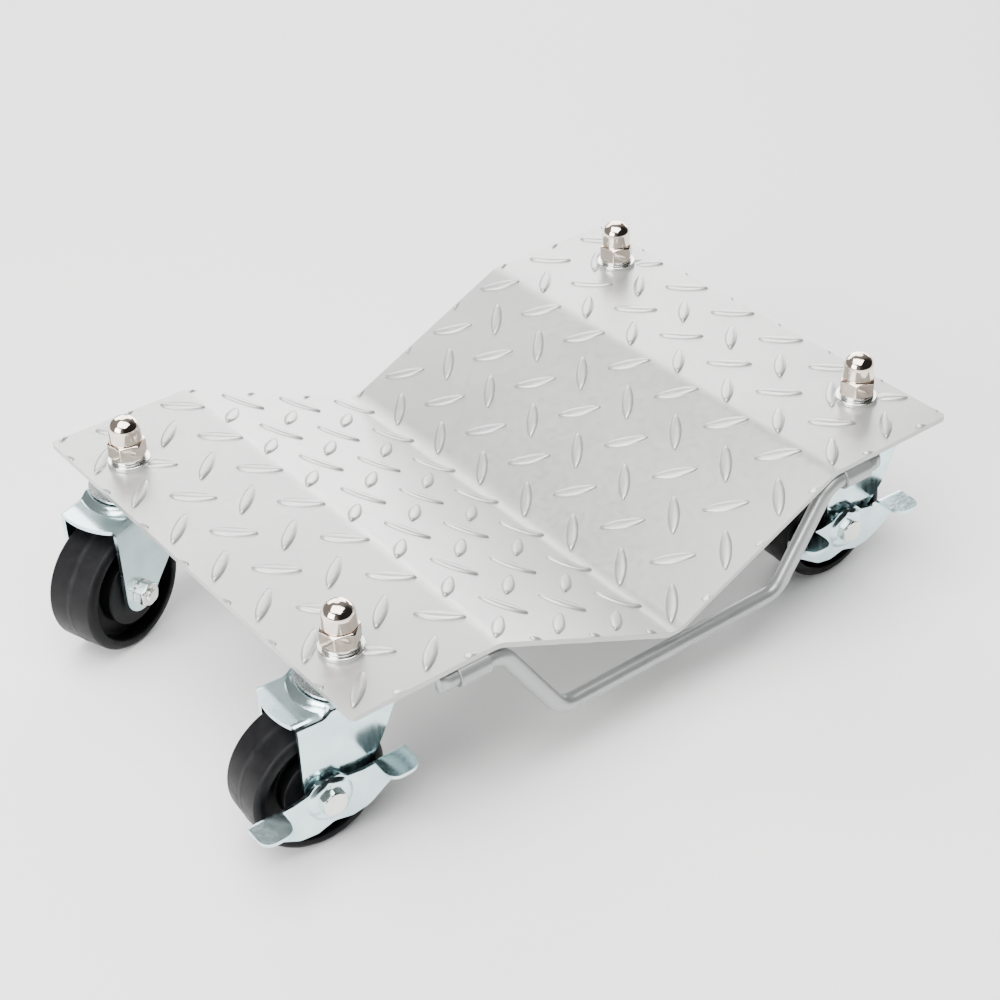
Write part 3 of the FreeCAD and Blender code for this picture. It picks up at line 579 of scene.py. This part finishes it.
def capNutLoop():
    # the dome nut's half outline: chamfered hexagon, groove, barrel and dome, hollow for the bolt
    n = capNut
    neck = n["hexHeight"] + n["groove"]
    loop = roundedLoop([(0, n["thread"]), (n["bore"], n["thread"]), (n["bore"], 0), (n["face"], 0, 0.2),
                        (n["corner"], n["chamfer"]), (n["corner"], n["hexHeight"] - n["chamfer"]),
                        (n["face"], n["hexHeight"], 0.15), (n["grooveRadius"], n["hexHeight"]),
                        (n["grooveRadius"], neck), (n["barrel"], neck, 0.25),
                        (n["dome"], n["height"], n["domeRound"]), (0, n["height"])], 12, 0.1)
    return refined(loop, n["meshStep"])


def makeDeckHardware(corner):
    # outlines turned round the swivel axis; the split washer stops short of a whole turn
    x, y = casters[corner]["x"], casters[corner]["y"]
    base = deck["top"] + washer["thick"]
    nut = spun(hexTurned(capNutLoop(), capNut["flats"]), capNut["turn"])
    nut = moved(nut, x, y, base + spring["thick"])
    makePiece("domeNut_" + corner, [nut], "deck", nickel, ["cap_nut_" + corner], sharp=30)
    w = washer
    ring = roundedLoop([(w["bore"], 0, w["boreRound"]), (w["outer"], 0, w["round"]),
                        (w["outer"], w["thick"], w["round"]), (w["bore"], w["thick"], w["boreRound"])])
    makePiece("flatWasher_" + corner, [moved(turned(ring, ringSteps), x, y, deck["top"])], "deck",
              boltZinc, ["flat_washer_" + corner])
    s = spring
    section = roundedLoop([(s["bore"], 0, s["round"]), (s["outer"], 0, s["round"]),
                           (s["outer"], s["thick"], s["round"]), (s["bore"], s["thick"], s["round"])])
    gap = s["slit"] / s["outer"]
    angle = np.linspace(gap / 2, 2 * math.pi - gap / 2, s["steps"])[:, None]
    body = np.stack([section[:, 0] * np.cos(angle), section[:, 0] * np.sin(angle),
                     section[:, 1] + 0 * angle], -1)
    makePiece("splitWasher_" + corner, [moved(grid(capped(body), False, True), x, y, base)], "deck",
              boltZinc, ["spring_washer_" + corner])
    r = topRace
    slant = r["sheet"] * math.sqrt(2)
    hat = roundedLoop([(r["bore"], r["top"]), (r["crown"], r["top"], 1), (r["flank"], r["brimTop"], 1.2),
                       (r["brim"], r["brimTop"], 0.4), (r["brim"], r["brimLow"], 0.4),
                       (r["flank"] - slant + r["brimTop"] - r["brimLow"], r["brimLow"], 0.3),
                       (r["crown"] - slant + r["sheet"], r["top"] - r["sheet"], 0.3),
                       (r["bore"], r["top"] - r["sheet"])])
    makePiece("upperRace_" + corner, [moved(turned(hat, ringSteps), x, y)], "deck", raceSteel,
              ["top_race_" + corner])


for corner in corners:
    makeDeckHardware(corner)
print("deck hardware made")


# fork: one pressing

fork = {"half": 20.5, "sheet": 2.5, "bend": 4, "bore": 7, "hood": 43.5, "front": 31, "hoodTop": 86,
        "plate": 91, "plateRadius": 16, "step": 89.3, "stepRadius": 17.3, "rim": 25.5, "flare": 30.3,
        "legFront": 38.3, "legEnd": 11.8, "flarePower": 1.8, "runPoints": 64, "frontPoints": 26,
        "rearPoints": 30, "bendRows": 8, "legRows": 24, "endRows": 12, "fade": 14, "edge": 0.35, "sharp": 60}
# radii of the crown sheet's rings, closest together where its height changes
crownRings = np.concatenate([[fork["bore"], 11, 15], np.linspace(15.8, 17.6, 8), [20, 23, 25],
                             np.linspace(25.4, 30.4, 16), [31, 32, 34, 37, 40, 43.3, 50]])
# the leg's rear edge from the line that leaves its round end up to the hood
legSweep = [(-2, 45.3), (5, 53), (10, 62.5), (14.5, 73), (18.5, 80), (23.2, 86)]


def crownHeight(x, y):
    # level crown plate, a step down, a trumpet flare whose drop slows by a power, the hood
    radius = np.hypot(x, y)
    flare = np.clip((fork["flare"] - radius) / (fork["flare"] - fork["rim"]), 0, 1)
    flare = flare ** fork["flarePower"]
    height = fork["hoodTop"] + (fork["step"] - fork["hoodTop"]) * flare
    inner = smoothStep((fork["stepRadius"] - radius) / (fork["stepRadius"] - fork["plateRadius"]))
    return height + (fork["plate"] - fork["step"]) * inner


def legLimits(height, trail, axle):
    # front and rear edge of the leg at each height: its end is part of a circle round the axle, the
    # front edge goes straight up and the rear one leaves the circle at 45 degrees for its sweep
    drop = np.clip(axle - height, 0, fork["legEnd"])
    chord = np.sqrt(fork["legEnd"] ** 2 - drop ** 2)
    front = np.where(height >= axle, -fork["legFront"], -trail - chord)
    tangent = fork["legEnd"] * math.sqrt(0.5)
    sweep = np.vstack([[(tangent - trail, axle - tangent)], smoothThrough(legSweep)])
    rear = np.where(height > axle - tangent, np.interp(height, sweep[:, 1], sweep[:, 0]), -trail + chord)
    return front, rear


def makeFork(corner):
    # the crown is a sheet inside an outline of two straight sides and two arcs, at crownHeight
    f = fork
    caster = casters[corner]
    flat = f["half"] - f["bend"]
    rearReach = math.sqrt(f["hood"] ** 2 - flat ** 2)
    frontReach = math.sqrt(f["front"] ** 2 - flat ** 2)
    run = np.linspace(-rearReach, frontReach, f["runPoints"])
    level = np.full(f["runPoints"], flat)
    frontTurn = math.asin(flat / f["front"])
    rearTurn = math.asin(flat / f["hood"])
    frontArc = np.linspace(frontTurn, -frontTurn, f["frontPoints"])[1:-1]
    rearArc = np.linspace(math.pi + rearTurn, math.pi - rearTurn, f["rearPoints"])[1:-1]
    outline = np.vstack([
        np.stack([run, level], -1),
        f["front"] * np.stack([np.cos(frontArc), np.sin(frontArc)], -1),
        np.stack([run[::-1], -level], -1),
        f["hood"] * np.stack([np.cos(rearArc), np.sin(rearArc)], -1)])
    crown = discInside(outline, crownRings, crownHeight)
    # each leg: rows go over the bend and down, and points on a row lie between its two edges
    share = (run - run[0]) / (run[-1] - run[0])
    turn = np.linspace(0, math.pi / 2, f["bendRows"])
    across = flat + f["bend"] * np.sin(turn)
    start = f["hoodTop"] - f["bend"]
    roundEnd = f["legEnd"] * np.sin(np.linspace(0, math.pi / 2, f["endRows"]))[1:]
    down = np.concatenate([np.linspace(start, caster["axle"], f["legRows"])[1:],
                           caster["axle"] - roundEnd])
    front = -np.sqrt(f["hood"] ** 2 - across ** 2)
    rear = np.sqrt(f["front"] ** 2 - across ** 2)
    legFront, legRear = legLimits(down, caster["trail"], caster["axle"])
    legRear = np.minimum(legRear, rear[-1])
    first, last = np.concatenate([front, legFront])[:, None], np.concatenate([rear, legRear])[:, None]
    x = first + (last - first) * share[None]
    y = np.concatenate([across, np.full(len(down), f["half"])])[:, None] + 0 * x
    height = np.concatenate([f["hoodTop"] - f["bend"] * (1 - np.cos(turn)), down])[:, None]
    # the crown's flare reaches over the bend and fades out down the leg
    extra = crownHeight(run, level) - f["hoodTop"]
    z = height + extra[None] * smoothStep((height - start + f["fade"]) / f["fade"])
    legs = [grid(np.stack([x, sign * y, z], -1)) for sign in (-1, 1)]
    makePiece("pressedFork_" + corner, [onCaster(shape, corner) for shape in [crown] + legs],
              "caster_" + corner, pressedZinc, ["fork_" + corner], sheet=f["sheet"],
              bevel=f["edge"], sharp=f["sharp"])


for corner in corners:
    makeFork(corner)
print("forks made")


# wheel, axle bolt and nut

wheel = {"radius": 37.5, "half": 16, "shoulder": 4.2, "lip": 31.2, "recess": 9, "hub": 21.3,
         "taper": 0.6, "hubRound": 1.0, "recessRound": 1.4, "lipRound": 0.9, "bore": 6.06, "ridge": 0.25,
         "ridgeHalf": 0.7, "crown": 0.2, "treadDepth": 0.3, "steps": 160, "meshStep": 1.1}
# dust on the wheel: how much on the tread, at its seam and on the hub, and over what widths
dust = {"tread": 0.2, "seam": 0.5, "seamHalf": 1.3, "hub": 0.16, "from": 1, "fade": 5}
axle = {"flats": 13, "head": 5.3, "nut": 6.5, "radius": 3.95, "end": 2.4, "face": 6.3, "corner": 7.8,
        "chamfer": 0.9, "pitch": 1.0, "thread": 0.4, "threadSkin": 0.5, "endRound": 0.8, "flange": 7.4,
        "flangeThick": 0.9, "flangeSteps": 64, "steps": 48, "meshStep": 0.2}
# the brake lever's sizes come first, because its boss carries the axle bolt's head
lever = {"gap": 0.3, "sheet": 2.0, "bossRise": 2.2, "headGap": 0.2, "half": 45, "padStart": 26.5,
         "fold": 7, "foldRadius": 1, "reach": 20.2, "corner": 7, "boss": 12.5, "bossEdge": 3,
         "dimple": 0.9, "dimpleAt": 9.6, "dimpleDeep": 1.5, "dimpleWide": 2.2, "edge": 0.3, "sharp": 60}


def makeWheel(corner):
    # a half outline with recessed sides turned round the axle
    w = wheel
    caster = casters[corner]
    floor = w["half"] - w["recess"]
    side = [(w["bore"], w["half"]), (w["hub"], w["half"], w["hubRound"]),
            (w["hub"] - w["taper"], floor, w["recessRound"]),
            (w["lip"] - w["taper"], floor, w["recessRound"]), (w["lip"], w["half"], w["lipRound"]),
            (w["radius"], w["half"], w["shoulder"])]
    other = [(spot[0], -spot[1], *spot[2:]) for spot in side[::-1]]
    loop = refined(roundedLoop(side + other, 7, 0.25), w["meshStep"])
    # the tread falls away from its middle by a fraction of a millimetre, with a thin raised seam
    onTread = loop[:, 0] > w["radius"] - w["treadDepth"]
    seam = np.exp(-(loop[:, 1] / w["ridgeHalf"]) ** 2)
    loop[:, 0] = np.where(onTread, w["radius"] - w["ridge"] + w["ridge"] * seam
                          - w["crown"] * (loop[:, 1] / w["half"]) ** 2, loop[:, 0])
    points, quads = swapped(turned(loop, w["steps"]), 1, 3, 2)
    radius = np.hypot(points[:, 0], points[:, 2])
    tread = smoothStep((radius - w["lip"] - dust["from"]) / dust["fade"])
    atSeam = np.exp(-(points[:, 1] / dust["seamHalf"]) ** 2)
    dusty = tread * (dust["tread"] + dust["seam"] * atSeam) + dust["hub"] * (radius < w["hub"])
    shape = onCaster(moved((points, quads), -caster["trail"], 0, caster["axle"]), corner)
    makePiece("rubberWheel_" + corner, [shape], "wheel_" + corner, wheelRubber,
              ["wheel_" + corner], notes={"dusty": dusty})


def hexLoop(height, hole, ends):
    # a hexagon's outline with 30 degree chamfers on the chosen ends
    a = axle
    low, high = [(a["corner"], 0)], [(a["corner"], height)]
    if ends[0]:
        low = [(a["face"], 0, 0.15), (a["corner"], a["chamfer"])]
    if ends[1]:
        high = [(a["corner"], height - a["chamfer"]), (a["face"], height, 0.15)]
    return refined(roundedLoop([(hole, 0)] + low + high + [(hole, height)], 4, 0.1), 0.6)


def makeAxle(corner):
    a = axle
    caster = casters[corner]
    proud = lever["gap"] + lever["sheet"] + lever["bossRise"] + lever["headGap"]
    headSide = fork["half"] + (proud if caster["braked"] else 0)
    sign = -1 if caster["braked"] else 1
    head = hexTurned(hexLoop(a["head"], 0, (False, True)), a["flats"])
    shank = fork["half"] + headSide + a["nut"] + a["end"]
    loop = refined(roundedLoop([(0, 0), (a["radius"], 0), (a["radius"], shank, a["endRound"]),
                                (0, shank)]), a["meshStep"])
    # thread ridges: a cosine wave along the last part of the shank
    threaded = loop[:, 1] > shank - a["nut"] - a["end"]
    onThread = threaded & (loop[:, 0] > a["radius"] - a["threadSkin"])
    wave = (1 - np.cos(2 * math.pi * (loop[:, 1] - shank) / a["pitch"])) / 2
    loop[:, 0] = np.where(onThread, loop[:, 0] - a["thread"] * wave, loop[:, 0])
    rod = turned(loop, a["steps"])
    nut = hexTurned(hexLoop(a["nut"], a["radius"], (True, True)), a["flats"])
    flange = turned(roundedLoop([(a["radius"], 0.02), (a["flange"], 0.02, 0.3),
                                 (a["flange"], a["flangeThick"], 0.4),
                                 (a["radius"], a["flangeThick"] + 0.2)]), a["flangeSteps"])
    # heads point outwards on their side of the fork, the shank runs through to the other side
    outOf = (1, -3, 2) if sign < 0 else (1, 3, 2)
    through = (1, 3, 2) if sign < 0 else (1, -3, 2)
    head = moved(swapped(head, *outOf), -caster["trail"], sign * headSide, caster["axle"])
    rod = moved(swapped(rod, *through), -caster["trail"], sign * headSide, caster["axle"])
    nut, flange = [moved(swapped(part, *through), -caster["trail"], -sign * fork["half"], caster["axle"])
                   for part in (nut, flange)]
    makePiece("axleBolt_" + corner, [onCaster(head, corner), onCaster(rod, corner)], "caster_" + corner,
              boltZinc, ["axle_bolt_" + corner], sharp=30)
    makePiece("axleNut_" + corner, [onCaster(nut, corner), onCaster(flange, corner)], "caster_" + corner,
              boltZinc, ["axle_nut_" + corner], sharp=30)


for corner in corners:
    makeWheel(corner)
    makeAxle(corner)
print("wheels and axles made")


# brake lever: its right half's outline and the radii of its sheet's rings, closest round the boss

leverRight = [(0, -15.5, 6), (10, -18.3, 5), (20, -17, 8), (35, -8, 8), (45, 2, 5), (45, 7), (26.5, 7),
                 (20, 6.9, 3), (11, 8.5, 2), (7, 12.3, 3)]
leverRings = np.concatenate([[0, 3, 6, 7.5], np.linspace(8, 12.8, 11), [15, 18, 22, 27, 33, 40, 60]])


def leverFace(x, z):
    # flat plate with a round boss in the middle and three pressed dimples round the bolt
    l = lever
    radius, angle = np.hypot(x, z), np.arctan2(z, x)
    face = l["bossRise"] * smoothStep((l["boss"] - radius) / l["bossEdge"])
    for degrees in (90, 210, 330):
        swing = (angle - math.radians(degrees) + math.pi) % (2 * math.pi) - math.pi
        away = ((radius - l["dimpleAt"]) / l["dimpleDeep"]) ** 2
        face = face - l["dimple"] * np.exp(-away - (swing * radius / l["dimpleWide"]) ** 2)
    return face


def makeLever(corner):
    # the plate is a sheet inside the outline, and each foot pad a sheet folded out from its top edge
    l = lever
    caster = casters[corner]
    left = [(-spot[0], *spot[1:]) for spot in leverRight[:0:-1]]
    outline = refined(roundedLoop(leverRight + left, 5, 0.1), 1.0)
    plate = swapped(discInside(outline, leverRings, leverFace), 1, -3, 2)
    outer = -(fork["half"] + l["gap"] + l["sheet"])
    shapes = [moved(plate, 0, outer)]
    for sign in (1, -1):
        # rows fold out from the plate's top edge, and points lie along it
        onTop = np.abs(outline[:, 1] - l["fold"]) < 0.01
        onEdge = onTop & (sign * outline[:, 0] > l["padStart"] - 0.01)
        x = np.sort(outline[onEdge, 0])
        fromEnd = np.minimum(np.abs(x) - l["padStart"], l["half"] - np.abs(x)).clip(0, l["corner"])
        rounding = np.sqrt(l["corner"] ** 2 - (l["corner"] - fromEnd) ** 2)
        reach = l["reach"] - l["sheet"] - l["corner"] + rounding
        turn = np.linspace(0, math.pi / 2, 6)[:, None]
        foldY = -l["foldRadius"] * (1 - np.cos(turn)) + 0 * x
        foldZ = l["fold"] + l["foldRadius"] * np.sin(turn) + 0 * x
        out = np.linspace(0, 1, 12)[1:, None]
        padY = -l["foldRadius"] - out * (reach - l["foldRadius"])[None]
        padZ = np.full(padY.shape, l["fold"] + l["foldRadius"])
        y, z = np.concatenate([foldY, padY]), np.concatenate([foldZ, padZ])
        shapes.append(moved(grid(np.stack([np.broadcast_to(x, y.shape), y, z], -1)), 0, outer))
    tilted = [spun(shape, -caster["tilt"], 1) for shape in shapes]
    placed = [onCaster(moved(shape, -caster["trail"], 0, caster["axle"]), corner) for shape in tilted]
    makePiece("brakeLever_" + corner, placed, "brake_" + corner, pressedZinc,
              ["brake_lever_" + corner], sheet=l["sheet"], bevel=l["edge"], sharp=l["sharp"])


for corner in corners:
    if casters[corner]["braked"]:
        makeLever(corner)
print("brake levers made")


# drop handle and its straps

handle = {"rod": 4.6, "half": 150, "shoulder": 113, "run": 76.5, "drop": 55.2, "bend": 15, "tip": 2.5,
          "tipWide": 5.2, "tipThin": 2.7, "tipStart": 6.5, "tipBlend": 4, "tipRound": 1.2,
          "tipLeast": 0.5, "steps": 32, "bendPoints": 16}
strap = {"middle": 5.5, "sheet": 1.6, "tail": 15, "from": 122.6, "to": 141, "open": 35, "edge": 0.3,
         "rollPoints": 56, "tailPoints": 7, "acrossPoints": 5, "sharp": 60}
hinge = np.array(joints["handle_swing"]["pos_m"]) / mm


def bentLine(turns, radius, step=1.2):
    # straight runs joined by arcs that touch both of them
    run = [np.array(turns[:1], float)]
    for before, here, after in zip(turns, turns[1:], turns[2:]):
        here = np.array(here, float)
        back, onward = np.array(before) - here, np.array(after) - here
        back, onward = back / np.linalg.norm(back), onward / np.linalg.norm(onward)
        half = math.acos(back @ onward) / 2
        centre = here + (back + onward) / np.linalg.norm(back + onward) * radius / math.sin(half)
        start, end = here + back * radius / math.tan(half), here + onward * radius / math.tan(half)
        first = math.atan2(*(start - centre)[::-1])
        turn = (math.atan2(*(end - centre)[::-1]) - first + math.pi) % (2 * math.pi) - math.pi
        angle = first + turn * np.linspace(0, 1, handle["bendPoints"])
        run.append(centre + radius * np.stack([np.cos(angle), np.sin(angle)], -1))
    run.append(np.array(turns[-1:], float))
    line = np.concatenate(run)
    length = np.concatenate([[0], np.cumsum(np.hypot(*np.diff(line, axis=0).T))])
    places = np.union1d(length, np.arange(0, length[-1], step))
    return np.stack([np.interp(places, length, line[:, k]) for k in (0, 1)], -1), places


def makeHandle():
    # a round section carried along the bent line; it is pressed flat and wide at both tips
    h = handle
    end = h["half"] + h["tip"]
    line, places = bentLine([(-end, 0), (-h["shoulder"], 0), (-h["run"], -h["drop"]), (h["run"], -h["drop"]),
                             (h["shoulder"], 0), (end, 0)], h["bend"])
    along = np.gradient(line, axis=0)
    along = along / np.linalg.norm(along, axis=1, keepdims=True)
    normal = np.stack([-along[:, 1], along[:, 0]], -1)
    fromEnd = np.minimum(places, places[-1] - places)
    press = smoothStep((h["tipStart"] - fromEnd) / h["tipBlend"])
    nose = np.sqrt(1 - (1 - np.clip(fromEnd / h["tipRound"], 0, 1)) ** 2)
    nose = nose.clip(h["tipLeast"], 1)
    wide = (h["rod"] + (h["tipWide"] - h["rod"]) * press) * nose
    thin = (h["rod"] + (h["tipThin"] - h["rod"]) * press) * nose
    angle = np.linspace(0, 2 * math.pi, h["steps"], endpoint=False)[None]
    up = wide[:, None] * np.cos(angle)
    points = np.stack([line[:, :1] + normal[:, :1] * up, thin[:, None] * np.sin(angle),
                       line[:, 1:] + normal[:, 1:] * up], -1)
    makePiece("bentHandle", [moved(grid(capped(points), False, True), *hinge)], "handle",
              handlePaint, ["handle"])


def makeStrap(side, sign):
    # a flat tail that rolls almost all the way round the rod; the open end shows a seam
    s = strap
    turn = np.radians(np.linspace(90, 90 + 360 - s["open"], s["rollPoints"]))
    roll = s["middle"] * np.stack([np.cos(turn), np.sin(turn)], -1)
    tail = np.linspace(s["tail"], 0, s["tailPoints"], endpoint=False)
    line = np.vstack([np.stack([tail, np.full(len(tail), s["middle"])], -1), roll])
    x = np.linspace(s["from"], s["to"], s["acrossPoints"])[None] * sign
    points = np.stack([x + 0 * line[:, :1], line[:, :1] + 0 * x, line[:, 1:] + 0 * x], -1)
    shape = moved(grid(points), 0, hinge[1], hinge[2])
    piece = makePiece("handleStrap_" + side, [shape], "deck", handlePaint,
                      ["handle_strap_" + side], sheet=s["sheet"], bevel=s["edge"], sharp=s["sharp"])
    piece.modifiers["sheet"].offset = 0


makeHandle()
makeStrap("left", -1)
makeStrap("right", 1)
print("handle made")


# the parts whose CAD shape is right keep it and take a finish

kept = {"king_bolt_": boltZinc, "lower_race_": raceSteel, "axle_sleeve_": raceSteel,
        "upper_balls_": ballSteel, "lower_balls_": ballSteel}
for start, finish in kept.items():
    for corner in corners:
        for slot in frame["nodes"][start + corner].material_slots:
            slot.material = finish
print("carried-over parts finished")


# floor, light and camera

# lengths here are in metres and angles in degrees
studio = {"floor": "#f4f4f3", "floorHalf": 14, "backdrop": 2.6, "bright": 0.34, "dim": 0.03,
          "darkSide": (0.42, -0.86, 0.3), "darkFrom": 0.15, "darkTo": 0.75}
softboxes = [  # name, place, aim, width, height, watts
    ("overhead", (-0.35, -0.2, 1.9), (0, 0, 0), 2.2, 1.9, 108),
    ("leftWindow", (-1.9, -0.3, 0.9), (0, 0, 0.05), 1.4, 1.2, 62),
    ("backWindow", (0.9, 1.9, 1.2), (0, 0, 0.05), 2.4, 1.2, 58),
    ("rightBackPanel", (2.1, 1.5, 0.45), (0, 0, 0.05), 2.2, 0.9, 46),
]
view = {"azimuth": 36.381, "elevation": 35.083, "roll": 2.013, "distance": 1.1596,
        "aim": (0.00195, 0.003, 0.0518), "lens": 71.615}


def makeFloor():
    half = studio["floorHalf"]
    mesh = bpy.data.meshes.new("floor")
    mesh.from_pydata([(-half, -half, 0), (half, -half, 0), (half, half, 0), (-half, half, 0)], [],
                     [(0, 1, 2, 3)])
    floor = addObject("floor", mesh)
    material, _, shader, _ = newMaterial("matPaperFloor", Roughness=0.9)
    shader.inputs["Base Color"].default_value = toLinear(studio["floor"])
    mesh.materials.append(material)


def makeLights():
    # the room is bright all round and falls off towards one dark side, which the metal reflects;
    # the backdrop itself stays pale
    world = bpy.data.worlds.new("studio")
    world.use_nodes = True
    tree = world.node_tree
    towards = addNode(tree, "ShaderNodeTexCoord").outputs["Generated"]
    facing = addNode(tree, "ShaderNodeVectorMath", {"operation": "DOT_PRODUCT"})
    tree.links.new(towards, facing.inputs[0])
    facing.inputs[1].default_value = Vector(studio["darkSide"]).normalized()
    glow = addNode(tree, "ShaderNodeMapRange", {"interpolation_type": "SMOOTHSTEP"},
                   Value=facing.outputs["Value"], FromMin=studio["darkFrom"], FromMax=studio["darkTo"],
                   ToMin=studio["bright"], ToMax=studio["dim"]).outputs[0]
    seen = addNode(tree, "ShaderNodeLightPath").outputs["Is Camera Ray"]
    shown = addNode(tree, "ShaderNodeMapRange", Value=seen, ToMax=studio["backdrop"])
    tree.links.new(glow, shown.inputs["To Min"])
    sky = tree.nodes["Background"]
    sky.inputs["Color"].default_value = toLinear(studio["floor"])
    tree.links.new(shown.outputs[0], sky.inputs["Strength"])
    bpy.context.scene.world = world
    for name, place, aim, width, height, watts in softboxes:
        light = bpy.data.lights.new(name, "AREA")
        light.shape = "RECTANGLE"
        light.size, light.size_y = width, height
        light.energy = watts
        lamp = addObject(name, light)
        lamp.location = place
        lamp.visible_camera = False
        lamp.rotation_mode = "QUATERNION"
        lamp.rotation_quaternion = (Vector(aim) - Vector(place)).to_track_quat("-Z", "Y")


def makeCamera():
    turn, rise = math.radians(view["azimuth"]), math.radians(view["elevation"])
    forward = Vector((math.sin(turn) * math.cos(rise), math.cos(turn) * math.cos(rise),
                      -math.sin(rise)))
    camera = addObject("camera", bpy.data.cameras.new("camera"))
    camera.data.lens = view["lens"]
    camera.location = Vector(view["aim"]) - forward * view["distance"]
    camera.rotation_mode = "QUATERNION"
    level = forward.to_track_quat("-Z", "Y")
    camera.rotation_quaternion = Quaternion(forward, math.radians(view["roll"])) @ level
    bpy.context.scene.camera = camera


makeFloor()
makeLights()
makeCamera()
print("scene ready")
